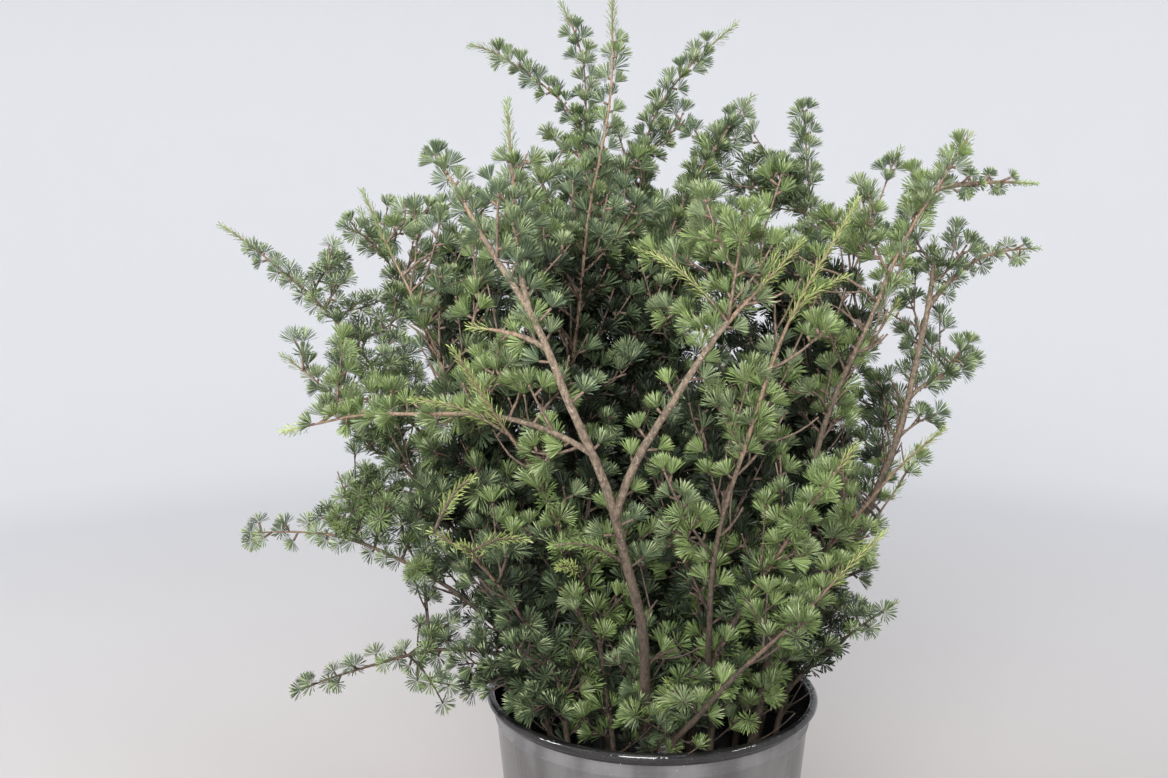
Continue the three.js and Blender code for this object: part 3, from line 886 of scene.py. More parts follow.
# %% Keep the gaps open
# Each gap is a slope across, a slope up and a radius, all in millimetres at a metre from the camera.
VIEW_GAPS = (
    (-232, 137, 22), (-154, 172, 15), (-175, 101, 8), (-180, 40, 8), (-265, 62, 25), (-254, 5, 26),
    (-215, -48, 17), (-237, -16, 11), (-51, 222, 15), (-47, 209, 10), (72, 185, 9), (103, 238, 12),
    (160, 206, 11), (170, 141, 7), (209, 166, 8), (212, 194, 13), (255, 164, 14), (222, 106, 8),
    (219, 74, 8), (255, 55, 7), (252, 31, 6), (345, 139, 15), (347, 200, 10), (318, 64, 15),
    (278, -104, 18), (277, -149, 18), (240, -222, 15), (-162, -182, 23), (-129, -180, 11),
    (-177, -257, 13), (-144, -254, 9),
)
gaps = np.array(VIEW_GAPS) * MM


def is_in_gap(spot):
    """True where the background is meant to show between the sprays, seen from the front."""
    seen = seen_from_front(spot[None])[:, :2]
    return bool((np.linalg.norm(gaps[:, :2] - seen, axis=1) < gaps[:, 2]).any())


print("gaps:", len(gaps))

# %% Grow twigs on a line
GOLDEN_ANGLE = 137.5
TURN_SPREAD = 12
LEAN_SPREAD = 8
OUTWARD_FROM = 0.5
REACH_SPREAD = (0.75, 1.25)
REACH_TRIES = (1, 0.7, 0.45)
CURL_UP = 0.32
CURL_ASIDE = 0.10
TWIG_MARGIN = 4 * MM
TWIG_POINTS = 6
NEVER_ZERO = 1e-9
UP = np.array([0, 0, 1.0])


def across_of(line):
    """A direction square to a line's run, from which turns about the line are counted."""
    run = line.points[-1] - line.points[0]
    return unit(np.array([run[2], 0, -run[0]]) + NEVER_ZERO)


def outward_at(spot):
    """The level direction away from the bucket's axis."""
    return unit(spot * (1, 1, 0))


def leaning(heading, across, turn, angle):
    """A direction that leans away from a heading by an angle, turned about it from across."""
    side = unit(across - heading * np.dot(across, heading))
    turn, angle = math.radians(turn), math.radians(angle)
    side = side * math.cos(turn) + np.cross(heading, side) * math.sin(turn)
    return side * math.sin(angle) + heading * math.cos(angle)


def grow_twigs(line, is_free, rule, rng):
    """Twigs along a line by a rule, each as long as its place allows."""
    across = across_of(line)
    turn = rng.uniform(0, 360)
    t = np.linspace(0, 1, TWIG_POINTS)[:, None]
    grown = []
    for along in np.arange(rule["first"], rule["last"] * line.length, rule["spacing"]):
        turn += GOLDEN_ANGLE + rng.uniform(-TURN_SPREAD, TURN_SPREAD)
        start = line.at(along)
        lean = rule["angle"] + rng.uniform(-LEAN_SPREAD, LEAN_SPREAD)
        direction = leaning(line.heading(along), across, turn, lean)
        share = along / line.length
        reach = rng.uniform(*REACH_SPREAD) * (rule["longest"] * (1 - share) + rule["shortest"] * share)
        if np.dot(direction, outward_at(start)) > OUTWARD_FROM:
            reach *= rule["outward"]
        curl = CURL_UP * UP + CURL_ASIDE * rng.normal(size=3)
        for part in REACH_TRIES:
            points = start + reach * part * (direction * t + curl * t**2)
            if is_free(points[-1]) and not hides_wood(points, TWIG_MARGIN) and not is_in_gap(points[-1]):
                grown.append(Line(points))
                break
    return grown


print("points along a twig:", TWIG_POINTS)

# %% The rules' numbers
TWIG_RULE = {
    "first": 12 * MM, "spacing": 17 * MM, "last": 0.68, "longest": 106 * MM, "shortest": 10 * MM, "angle": 46,
    "outward": 0.4,
}
SLIM_RULE = TWIG_RULE | {"spacing": 22 * MM, "longest": 38 * MM}
TWIGLET_RULE = {
    "first": 15 * MM, "spacing": 21 * MM, "last": 0.82, "longest": 44 * MM, "shortest": 24 * MM, "angle": 42,
    "outward": 0.4,
}
SKIRT_RULE = {
    "first": 0, "spacing": 8 * MM, "last": 1, "longest": 58 * MM, "shortest": 46 * MM, "angle": 56,
    "outward": 0.65,
}
SKIRT_FROM = -26 * MM
SKIRT_TO = 80 * MM
SKIRT_POINTS = 12
TWIGLETS_BELOW = 770 * MM
SLIM_STEMS = (
    "front_fork", "front_fork left_arch", "front_fork left_level", "front_fork upright", "right_side short",
    "back_left outer", "far_left outer",
)
# A loose stem carries rosettes only, and the value is how far apart they stand.
LOOSE_STEMS = {
    "left_low lowest": 9 * MM, "left_low level": 9 * MM, "right_upper outer": 6.5 * MM,
    "right_side outer": 7 * MM, "right_low shoot": 4 * MM,
}
print("slim stems:", len(SLIM_STEMS), "loose stems:", len(LOOSE_STEMS))

# %% Grow the twigs and the skirt
TWIG, TWIGLET = 1, 2
twigs = []


def add_twig(line, owner, order, **more):
    twigs.append({"line": line, "owner": owner, "order": order, **more})


def grow_on_stem(owner, stem):
    """The twigs of a stem, inside its own space, and their twiglets."""
    def is_free(spot):
        return is_in_space(spot, owner)

    rng = rng_for("twigs", owner)
    is_slim = stem["name"] in SLIM_STEMS
    for twig in grow_twigs(stem["line"], is_free, SLIM_RULE if is_slim else TWIG_RULE, rng):
        add_twig(twig, owner, TWIG)
        if is_slim:
            continue
        for twiglet in grow_twigs(twig, is_free, TWIGLET_RULE, rng):
            if twiglet.points[-1][2] < TWIGLETS_BELOW:
                add_twig(twiglet, owner, TWIGLET)


for owner, stem in enumerate(stems):
    if stem["name"] not in LOOSE_STEMS:
        grow_on_stem(owner, stem)
print("twigs and twiglets:", [sum(twig["order"] == order for twig in twigs) for order in (TWIG, TWIGLET)])

for index, (name, bough) in enumerate(boughs.items()):
    if bough["rim"]:
        low = bough["line"].part(bough["rim"] + SKIRT_FROM, bough["rim"] + SKIRT_TO, SKIRT_POINTS)
        for twig in grow_twigs(low, is_clear, SKIRT_RULE, rng_for("skirt", index)):
            add_twig(twig, stem_index[name], TWIGLET)
print("with the skirt:", len(twigs))

# %% [markdown]
# ## Twigs with a place of their own
# A rule alone gives every bunch the same evenness. This one has twigs that fill certain places and young
# shoots that stand out, so their tips are listed, as places like those of the plan. Each grows from the
# nearest wood that lies below it, or by the rim from wood at its own height. Twigs to tips at random fill
# the heart of the bunch in the same way, so that no light shows through it.

# %% Listed tips
PLACED_TWIGS = (
    (38, 97, 795), (39, 143, 755), (43, 59, 727), (15, 79, 726), (168, 298, 684), (173, 261, 651),
    (166, 244, 649), (174, 201, 729), (187, 173, 700), (178, 260, 498), (185, 238, 469),
    (180, 223, 432), (189, 190, 295), (199, 180, 341), (194, 163, 311), (2, 254, 549), (-3, 232, 511),
    (-12, 201, 535), (4, 277, 604), (42, 59, 677), (37, 99, 621), (35, 104, 560), (0, 57, 599),
    (175, 232, 615), (42, 105, 754), (36, 119, 773), (66, 98, 647), (11, 218, 530), (14, 240, 557),
    (5, 214, 496), (16, 252, 648), (12, 239, 509), (172, 277, 715), (176, 275, 669), (180, 309, 615),
    (33, 74, 767), (-146, 180, 560), (-147, 176, 620), (-146, 172, 675), (-140, 150, 600),
    (-140, 140, 660), (-138, 130, 715), (-30, 150, 600), (-26, 170, 560), (-34, 160, 655),
    (-22, 175, 620), (-155, 144, 664), (-165, 153, 681), (180, 209, 683), (179, 274, 588),
    (175, 219, 602), (178, 251, 494), (-174, 195, 423), (180, 199, 392), (7, 234, 532), (10, 223, 577),
    (3, 207, 469), (168, 238, 557), (164, 220, 517), (163, 205, 588), (178, 300, 454), (178, 242, 460),
    (59, 105, 416), (69, 161, 407), (29, 61, 424), (56, 120, 540), (62, 169, 527), (172, 212, 387),
    (169, 201, 365), (171, 188, 350), (163, 203, 320), (162, 223, 438), (156, 245, 420),
    (167, 258, 630), (160, 239, 683), (174, 271, 581), (157, 156, 644), (162, 193, 503), (17, 206, 555),
    (19, 188, 517), (18, 256, 615), (127, 150, 799), (78, 123, 808), (143, 134, 767), (-160, 158, 322),
    (-153, 157, 323), (-147, 155, 324), (-139, 153, 323), (-133, 151, 322), (-160, 145, 326),
)
PLACED_SHOOTS = (
    (-134, 265, 590), (-118, 226, 489), (-58, 217, 674), (-93, 128, 355), (-88, 133, 354),
    (-114, 196, 462), (190, 282, 462), (-68, 205, 699), (-55, 221, 679), (-121, 274, 541),
    (-109, 253, 495), (-97, 151, 698), (-129, 244, 482),
)
print("tips given by hand:", len(PLACED_TWIGS) + len(PLACED_SHOOTS))

# %% Grow twigs to given tips
INNER_TWIGS = (
    {"count": 225, "turn": (0, 360), "reach": (45, 185), "height": (345, 710)},
    {"count": 48, "turn": (150, 205), "reach": (130, 235), "height": (400, 690)},
    {"count": 22, "turn": (-20, 35), "reach": (120, 205), "height": (400, 690)},
)
ROOT_BELOW = 20 * MM
LOWEST_ROOT = 302 * MM
ALWAYS_BELOW = 326 * MM
PLACED_LIFT = 0.18
PLACED_SHOOT = 0.8
ROOT_POINTS = 2
OUT_OF_REACH = 1

wood_spots, wood_owner = [stem_spots], [stem_owner]
for name, bough in boughs.items():
    wood_spots.append(bough["line"].part(bough["rim"], bough["bare_end"], SPOTS_EACH).points)
    wood_owner.append(np.full(SPOTS_EACH, stem_index[name]))
wood_spots, wood_owner = np.vstack(wood_spots), np.concatenate(wood_owner)


def grow_to(tip):
    """A twig from the nearest wood below a tip, and the stem that it belongs to."""
    is_below = wood_spots[:, 2] < max(tip[2] - ROOT_BELOW, ALWAYS_BELOW)
    is_above_rim = wood_spots[:, 2] > LOWEST_ROOT
    more = np.where(is_below & is_above_rim, 0, OUT_OF_REACH)
    away = np.linalg.norm(wood_spots - tip, axis=1) + more
    nearest = away.argmin()
    start = wood_spots[nearest]
    lift = PLACED_LIFT * away[nearest] * UP
    line = Line(bend(start, (start + tip) / 2 + lift, tip))
    return line.part(0, line.length, TWIG_POINTS), wood_owner[nearest]


def add_placed(tip, shoot_share, rng):
    """A twig with twiglets, or a young shoot if a share of its length is given, unless it is in the way."""
    line, owner = grow_to(place(*tip))
    if is_in_gap(line.points[-1]):
        return
    if shoot_share:
        add_twig(line, owner, TWIG, shoot=shoot_share * line.length)
    elif not hides_wood(line.points[ROOT_POINTS:], TWIG_MARGIN):
        add_twig(line, owner, TWIG, shoot=0)
        for twiglet in grow_twigs(line, is_clear, TWIGLET_RULE, rng):
            add_twig(twiglet, owner, TWIGLET)


placed_rng = rng_for("placed")
for tip in PLACED_TWIGS:
    add_placed(tip, 0, placed_rng)
for tip in PLACED_SHOOTS:
    add_placed(tip, PLACED_SHOOT, placed_rng)
for inner in INNER_TWIGS:
    for _ in range(inner["count"]):
        tip = [placed_rng.uniform(*inner[measure]) for measure in ("turn", "reach", "height")]
        add_placed(tip, 0, placed_rng)
print("with the placed and inner ones:", len(twigs))

# %% [markdown]
# ## Where the rosettes sit
# A cedar's needles stand in rosettes, each on a short spur. Rosettes follow one another along stems and
# twigs, again by the golden angle, and they turn up towards the light and on towards the twig's tip. The
# last stretch of most stems, and of some twigs, is this year's long shoot: it has no spurs, only single
# needles.

# %% Add spurs along a line
SPUR_LEAN = 78
SPUR_UP = 0.55
SPUR_ALONG = 0.35
SPUR_BEND = 0.4
SPACING_SPREAD = 0.3
TIP_BACK = 2 * MM
TIP_SPUR_LENGTH = 2.5 * MM
ROSETTE_MIDDLE = 8 * MM
ROSETTE_MARGIN = 12 * MM
RIM_CLEAR = 20 * MM

spur_roots, spur_tips, rosette_axes, rosette_owner = [], [], [], []


def has_room(tip, middle):
    """True where a rosette stays clear of the bucket and its rim, the gaps and the shown wood."""
    from_rim = math.hypot(math.hypot(middle[0], middle[1]) - MOUTH_RADIUS, middle[2] - BUCKET_HEIGHT)
    if not is_clear(tip) or from_rim < RIM_CLEAR:
        return False
    return not is_in_gap(middle) and not hides_wood(middle[None], ROSETTE_MARGIN)


def add_spur(root, side, heading, length, owner):
    axis = unit(side + SPUR_UP * UP + SPUR_ALONG * heading)
    tip = root + length * unit(side + SPUR_BEND * axis)
    if has_room(tip, tip + ROSETTE_MIDDLE * axis):
        spur_roots.append(root)
        spur_tips.append(tip)
        rosette_axes.append(axis)
        rosette_owner.append(owner)


def add_spurs(line, start, end, spacing, lengths, owner, rng, bare):
    """Spurs along a stretch of a line, none of them on its bare face, which looks out of the bunch."""
    across = across_of(line)
    turn = rng.uniform(0, 360)
    for along in np.arange(start, end, spacing):
        along += rng.uniform(-SPACING_SPREAD, SPACING_SPREAD) * spacing
        turn += GOLDEN_ANGLE
        root, heading = line.at(along), line.heading(along)
        side = leaning(heading, across, turn, SPUR_LEAN)
        if np.dot(side, outward_at(root)) > bare:
            continue
        add_spur(root, side, heading, rng.uniform(*lengths), owner)


def add_tip(line, owner):
    """A rosette at the very end of a twig."""
    heading = line.heading(line.length)
    add_spur(line.points[-1] - TIP_BACK * heading, heading, heading, TIP_SPUR_LENGTH, owner)


print("spurs lean out by", SPUR_LEAN, "degrees")

# %% Spurs and long shoots of the stems
STEM_SPURS_FROM = 8 * MM
STEM_SPUR_SPACING = 5.5 * MM
HIGH_SPUR_SPACING = 4.4 * MM
HIGH_FROM = 780 * MM
STEM_SPUR_LENGTH = (2 * MM, 6 * MM)
LOOSE_SPUR_LENGTH = (4 * MM, 11 * MM)
STEM_BARE = 0.85
STEM_SHOOT = (10 * MM, 28 * MM)
MOST_SHOOT = 0.4
LONG_SHOOTS = {
    "front_right": 105 * MM, "front_left": 80 * MM, "front_low_right": 60 * MM, "left_shoot": 60 * MM,
    "front_fork upright": 45 * MM, "front_fork_right": 50 * MM, "right_upper front": 50 * MM,
    "top_centre": 55 * MM, "far_left outer": 35 * MM, "right_upper outer": 40 * MM,
    "right_side outer": 22 * MM, "right_low shoot": 12 * MM, "front_fork": 0, "left_low lowest": 0,
    "left_low level": 0, "upper_right": 0, "right_side short": 0,
}
shoots = []

for owner, stem in enumerate(stems):
    rng = rng_for("stem spurs", owner)
    name, line = stem["name"], stem["line"]
    shoot_length = LONG_SHOOTS.get(name, rng.uniform(*STEM_SHOOT))
    shoot_from = line.length - min(shoot_length, MOST_SHOOT * line.length)
    usual = HIGH_SPUR_SPACING if line.points[-1][2] > HIGH_FROM else STEM_SPUR_SPACING
    spacing = LOOSE_STEMS.get(name, usual)
    lengths = LOOSE_SPUR_LENGTH if name in LOOSE_STEMS else STEM_SPUR_LENGTH
    add_spurs(line, STEM_SPURS_FROM, shoot_from, spacing, lengths, owner, rng, STEM_BARE)
    if shoot_length:
        shoots.append({"line": line.part(shoot_from, line.length, TWIG_POINTS), "owner": owner})
    else:
        add_tip(line, owner)
print("rosettes on stems:", len(spur_tips))

# %% Spurs on twigs and bare limbs
TWIG_SPURS_FROM = 9 * MM
TWIG_SPURS_END = 4 * MM
TWIG_SPUR_SPACING = 8 * MM
TWIG_SPUR_LENGTH = (3 * MM, 8 * MM)
TWIG_BARE = 0.78
TWIG_SHOOT = (18 * MM, 36 * MM)
TWIG_SHOOT_CHANCE = 0.3
LIMB_SPURS_FROM = 4 * MM
LIMB_SPUR_SPACING = 7.5 * MM
LIMB_SPUR_LENGTH = (6 * MM, 17 * MM)
LIMB_BARE = 0.55

for index, twig in enumerate(twigs):
    rng = rng_for("twig spurs", index)
    line, owner, shoot = twig["line"], twig["owner"], twig.get("shoot", 0)
    may_shoot = "shoot" not in twig and twig["order"] == TWIG and line.length > 2 * TWIG_SHOOT[1]
    if may_shoot and rng.random() < TWIG_SHOOT_CHANCE:
        shoot = rng.uniform(*TWIG_SHOOT)
    end = line.length - shoot
    if shoot:
        shoots.append({"line": line.part(end, line.length, TWIG_POINTS), "owner": owner})
    else:
        add_tip(line, owner)
    last = end - TWIG_SPURS_END
    add_spurs(line, TWIG_SPURS_FROM, last, TWIG_SPUR_SPACING, TWIG_SPUR_LENGTH, owner, rng, TWIG_BARE)

for index, (name, bough) in enumerate(boughs.items()):
    rng, owner = rng_for("limb spurs", index), stem_index[name]
    start, end = bough["rim"] + LIMB_SPURS_FROM, bough["bare_end"]
    add_spurs(bough["line"], start, end, LIMB_SPUR_SPACING, LIMB_SPUR_LENGTH, owner, rng, LIMB_BARE)
print("rosettes:", len(spur_tips), "long shoots:", len(shoots))

# %% [markdown]
# ## Depth and hollows
# The bunch is dark inside, because its outer tufts take the light, and between the tufts there are hollows
# that let the eye in. So each rosette is asked how many others stand before it on the way out. Those in the
# core of the bunch that have many before them are deep, and later get needles painted dark: painted shade.
# Some of the others in and near the core are left out, where slow noise says hollow. At the top and at the
# edge all rosettes stay.

# %% Find the deep ones and open hollows
COVER_UP = 90 * MM
COVER_ASIDE = 20 * MM
COVER_AHEAD = (10 * MM, 100 * MM)
DEEP_COVER = 8
HOLLOW_SCALE = 27
HOLLOW_FROM = 0.06
CORE_MIDDLE = np.array([20 * MM, -50 * MM])
CORE_RADIUS = 200 * MM
HOLLOW_RADIUS = 245 * MM
CORE_TOP = 690 * MM
OUT_OF_CORE = 1


def cover_of(spots):
    """How many of the spots stand close before each one, on the way out of the bunch and up."""
    ways = unit(spots * (1, 1, 0) + COVER_UP * UP)
    cover = []
    for spot, way in zip(spots, ways):
        away = spots - spot
        ahead = away @ way
        aside = (away**2).sum(axis=1) - ahead**2
        is_before = (ahead > COVER_AHEAD[0]) & (ahead < COVER_AHEAD[1])
        cover.append((is_before & (aside < COVER_ASIDE**2)).sum())
    return np.array(cover)


spur_roots, spur_tips, rosette_axes = np.array(spur_roots), np.array(spur_tips), np.array(rosette_axes)
cover = cover_of(spur_tips)
hollow = np.array([noise.noise(Vector(tip) * HOLLOW_SCALE) for tip in spur_tips])
from_middle = np.linalg.norm(spur_tips[:, :2] - CORE_MIDDLE, axis=1)
from_middle += np.where(spur_tips[:, 2] > CORE_TOP, OUT_OF_CORE, 0)
is_deep = (cover >= DEEP_COVER) & (from_middle < CORE_RADIUS)
is_kept = (hollow < HOLLOW_FROM) | is_deep | (from_middle > HOLLOW_RADIUS)
spur_roots, spur_tips, rosette_axes = spur_roots[is_kept], spur_tips[is_kept], rosette_axes[is_kept]
rosette_owner, cover, is_deep = np.array(rosette_owner)[is_kept], cover[is_kept], is_deep[is_kept]
print("rosettes kept:", len(spur_tips), "of them deep:", int(is_deep.sum()))

# %% [markdown]
# ## Twigs and spurs as joined meshes
# There are thousands of twigs and spurs, far too many to extrude one by one. All tubes with the same number
# of rings have the same faces, so NumPy works out every corner at once and one mesh holds a whole sector of
# them.

# %% Tubes from arrays
TUBE_SIDES = 4
ACROSS_LEAST = 1e-6


def tube_arrays(paths, radii):
    """Corners and four-sided faces of many closed tubes: paths is (tubes, rings, 3), radii (tubes, rings)."""
    count, rings = radii.shape
    heading = unit(np.gradient(paths, axis=1))
    run = paths[:, -1] - paths[:, 0]
    across = np.stack([run[:, 2], np.full(count, ACROSS_LEAST), -run[:, 0]], axis=-1)[:, None]
    across = unit(across - heading * (across * heading).sum(-1, keepdims=True))
    beside = np.cross(heading, across)
    angles = np.arange(TUBE_SIDES) * math.tau / TUBE_SIDES
    ring = across[:, :, None] * np.cos(angles)[:, None] + beside[:, :, None] * np.sin(angles)[:, None]
    corners = paths[:, :, None] + radii[:, :, None, None] * ring
    sides = np.arange(TUBE_SIDES)
    around = np.roll(sides, -1)
    low = np.arange(rings - 1)[:, None] * TUBE_SIDES
    high = low + TUBE_SIDES
    walls = np.stack([low + sides, low + around, high + around, high + sides], axis=-1)
    last = (rings - 1) * TUBE_SIDES
    one = np.vstack([walls.reshape(-1, 4), sides[::-1], sides + last])
    faces = one + (np.arange(count) * rings * TUBE_SIDES)[:, None, None]
    return corners.reshape(-1, 3), faces.reshape(-1, 4)


def mesh_from_arrays(name, corners, faces, finish_of_face, materials):
    """One object from arrays of corners and of faces that all have the same number of corners."""
    mesh = bpy.data.meshes.new(name)
    width = faces.shape[1]
    mesh.vertices.add(len(corners))
    mesh.vertices.foreach_set("co", corners.astype(np.float32).ravel())
    mesh.loops.add(faces.size)
    mesh.loops.foreach_set("vertex_index", faces.astype(np.int32).ravel())
    mesh.polygons.add(len(faces))
    mesh.polygons.foreach_set("loop_start", np.arange(0, faces.size, width, dtype=np.int32))
    mesh.polygons.foreach_set("material_index", finish_of_face.astype(np.int32))
    mesh.update(calc_edges=True)
    return link_mesh(name, mesh, materials)


print("sides of a twig:", TUBE_SIDES)

# %% Sectors of the bunch
SECTORS = {
    "front": ("front_fork", "front_fork_right", "front_low_right"),
    "front_right": ("front_right", "right_upper", "right_low"),
    "right": ("right_side", "right_back", "back_right"),
    "back": ("back", "back_left", "left_back"),
    "left": ("far_left", "left_low", "left_shoot"),
    "front_left": ("front_low_left", "front_left", "middle_left"),
    "middle": ("top_centre", "upper_right", "middle_right"),
}
sector_names = list(SECTORS)
sector_of_bough = {bough: index for index, members in enumerate(SECTORS.values()) for bough in members}
sector_of_stem = np.array([sector_of_bough[stem["bough"]] for stem in stems])


def sprays_of(sector):
    """The frame's nodes that a sector's foliage stands for."""
    members = SECTORS[sector]
    return [stem["name"].replace(" ", "_") + "_spray" for stem in stems if stem["bough"] in members]


def dress(piece, sector):
    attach(piece, "root")
    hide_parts(*sprays_of(sector))


print("sectors:", sector_names)

# %% Make the twigs
TWIG_RADII = {TWIG: (1.35 * MM, 0.75 * MM), TWIGLET: (0.85 * MM, 0.6 * MM)}
SPUR_RADII = (0.95 * MM, 1.15 * MM)
twig_paths = np.array([twig["line"].points for twig in twigs])
twig_radii = np.array([np.linspace(*TWIG_RADII[twig["order"]], TWIG_POINTS) for twig in twigs])
twig_sector = sector_of_stem[[twig["owner"] for twig in twigs]]
spur_paths = np.stack([spur_roots, spur_tips], axis=1)
spur_radii = np.tile(SPUR_RADII, (len(spur_paths), 1))
spur_sector = sector_of_stem[rosette_owner]

for index, sector in enumerate(sector_names):
    twig_corners, twig_faces = tube_arrays(twig_paths[twig_sector == index], twig_radii[twig_sector == index])
    spur_corners, spur_faces = tube_arrays(spur_paths[spur_sector == index], spur_radii[spur_sector == index])
    corners = np.vstack([twig_corners, spur_corners])
    faces = np.vstack([twig_faces, spur_faces + len(twig_corners)])
    piece = mesh_from_arrays("twigs_" + sector, corners, faces, np.zeros(len(faces)), [twig_bark])
    piece.data.shade_smooth()
    dress(piece, sector)
    print("twigs", sector, "triangles:", 2 * len(faces))

# %% [markdown]
# ## Needles
# A needle is a slim blade with a fold along its middle. A flat card for a whole rosette would save faces,
# but it looks flat from the side, so every needle has a shape of its own: a face of four corners, cut in
# two from root to tip, is enough when it is a millimetre wide. One is made with bmesh, and every needle of
# the bunch is a copy of it in its own place, all worked out in arrays. In a rosette the needles open like a
# shaving brush or a shallow cup, the inner ones upright and the outer ones leaning out. On a long shoot
# they stand singly, one after the other by the golden angle, and close up towards its tip.

# %% One needle
NEEDLE_WIDEST = 0.8
NEEDLE_FOLD = 0.28


def needle_shape():
    """Corners in widths across and lengths along, and the two faces between them."""
    bm = bmesh.new()
    outline = ((0, 0, 0), (0.5, -NEEDLE_FOLD, NEEDLE_WIDEST), (0, 0, 1), (-0.5, -NEEDLE_FOLD, NEEDLE_WIDEST))
    corners = [bm.verts.new(corner) for corner in outline]
    root, tip = corners[0], corners[2]
    bmesh.ops.contextual_create(bm, geom=corners)
    bmesh.ops.connect_verts(bm, verts=[root, tip])
    bm.verts.index_update()
    places = np.array([vert.co for vert in bm.verts])
    faces = np.array([[vert.index for vert in face.verts] for face in bm.faces])
    bm.free()
    return places, faces


needle_corners, needle_faces = needle_shape()
print("faces of one needle:", len(needle_faces))

# %% Many needles
NEEDLE_HEIGHTS = (560 * MM, 780 * MM)
NEEDLE_LENGTHS = (14.5 * MM, 13.5 * MM)
# The stems with tufts smaller than usual, and the share of the usual size.
SMALL_TUFTS = {
    "left_low lowest": 0.82, "left_low level": 0.84, "right_upper outer": 0.55, "right_side outer": 0.7,
    "right_low shoot": 0.75, "far_left outer": 0.8,
}
NEEDLE_WIDTH = 1.0 * MM
ROSETTE_NEEDLES = 54
DEEP_NEEDLE_WIDTH = 1.6 * MM
DEEP_ROSETTE_NEEDLES = 26
CUP_INNER = 6
CUP_OUTER = (38, 66)
CUP_LOOSE = 30
OPEN_SPREAD = 4
NEEDLE_TURN_SPREAD = 0.15
NEEDLE_TWIST = 0.3
ROSETTE_SIZES = (0.82, 1.1)
NEEDLE_SIZES = (0.88, 1.06)
BUD = 0.8 * MM
tuft_size = np.array([SMALL_TUFTS.get(stem["name"], 1) for stem in stems])
cup_more = np.where(tuft_size < 1, CUP_LOOSE, 0)


def needle_arrays(roots, directions, sides, lengths, widths):
    """Corners of many needles, copied from the one."""
    normals = np.cross(directions, sides)
    x, y, z = needle_corners.T[:, None, :, None]
    across = x * sides[:, None] + y * normals[:, None]
    corners = roots[:, None] + z * (lengths[:, None] * directions)[:, None] + widths[:, None, None] * across
    faces = needle_faces + (np.arange(len(roots)) * len(needle_corners))[:, None, None]
    return corners.reshape(-1, 3), faces.reshape(-1, 3)


def rosette_needles(tips, axes, owners, each, width, rng):
    """Roots, directions, sides, lengths and widths of all needles of some rosettes."""
    count = (len(tips), each)
    across = unit(np.cross(axes, rng.normal(size=axes.shape)))
    beside = np.cross(axes, across)
    order = (np.arange(each) + 0.5) / each
    widest = rng.uniform(*CUP_OUTER, (len(tips), 1)) + cup_more[owners, None]
    open_by = CUP_INNER + (widest - CUP_INNER) * np.sqrt(order) + rng.normal(0, OPEN_SPREAD, count)
    open_by = np.radians(open_by)
    turn = np.radians(GOLDEN_ANGLE) * np.arange(each) + rng.normal(0, NEEDLE_TURN_SPREAD, count)
    flat = across[:, None] * np.cos(turn)[..., None] + beside[:, None] * np.sin(turn)[..., None]
    directions = axes[:, None] * np.cos(open_by)[..., None] + flat * np.sin(open_by)[..., None]
    usual = np.interp(tips[:, 2:], NEEDLE_HEIGHTS, NEEDLE_LENGTHS) * tuft_size[owners, None]
    lengths = usual * rng.uniform(*ROSETTE_SIZES, (len(tips), 1)) * rng.uniform(*NEEDLE_SIZES, count)
    widths = np.full(count, width)
    roots = tips[:, None] + BUD * directions
    sides = unit(np.cross(directions, axes[:, None] + NEEDLE_TWIST * rng.normal(size=(*count, 3))))
    return [part.reshape(-1, *part.shape[2:]) for part in (roots, directions, sides, lengths, widths)]


print("needles of a rosette:", ROSETTE_NEEDLES, "or, deep inside:", DEEP_ROSETTE_NEEDLES)

# %% Single needles of long shoots
SHOOT_NEEDLE_LENGTH = 11 * MM
SHOOT_NEEDLE_SPACING = 0.55 * MM
SHOOT_NEEDLE_LEAN = (34, 58)
SHOOT_NEEDLE_SIZES = (0.8, 1.15)
SHOOT_NEEDLE_WIDTH = 0.95 * NEEDLE_WIDTH
CLOSES_BY = 0.4
SHORTENS_BY = 0.3


def shoot_needles(line, size, rng):
    """Roots, directions, sides, lengths and widths of a shoot's needles, which close up towards its tip."""
    along = np.arange(0, line.length, SHOOT_NEEDLE_SPACING)
    across = across_of(line)
    roots, directions = line.at(along), []
    for index, station in enumerate(along):
        lean = rng.uniform(*SHOOT_NEEDLE_LEAN) * (1 - CLOSES_BY * station / line.length)
        directions.append(leaning(line.heading(station), across, GOLDEN_ANGLE * index, lean))
    directions = np.array(directions)
    sides = unit(np.cross(directions, line.heading(along)))
    lengths = size * SHOOT_NEEDLE_LENGTH * rng.uniform(*SHOOT_NEEDLE_SIZES, len(along))
    lengths = lengths * (1 - SHORTENS_BY * along / line.length)
    return roots, directions, sides, lengths, np.full(len(along), SHOOT_NEEDLE_WIDTH)


print("needles on 10 mm of a shoot:", round(10 * MM / SHOOT_NEEDLE_SPACING))

# %% [markdown]
# ## Which green goes where
# Needles have a thin coat of wax, so their finish is a green with a dull shine, mottled a little lighter
# and darker. One colour ramp over the whole bunch could tint them, but neighbouring rosettes differ, so
# each tint is a finish of its own, and a face only has to know its number. The boughs in front are fresh
# green, and those behind and above are blue or grey green. Low down or under other tufts the green is
# darker: painted shade. Needles that sit deep in the bunch get a painted shade that is nearly black, a
# little less dark low in front, where light reaches them. Low on the left the bunch shades itself, and that
# shade is painted too. Each rosette gets one tint, and unless it is deep the youngest needles in its heart
# get a paler one. Young shoots are yellow green in front and fresh green elsewhere.

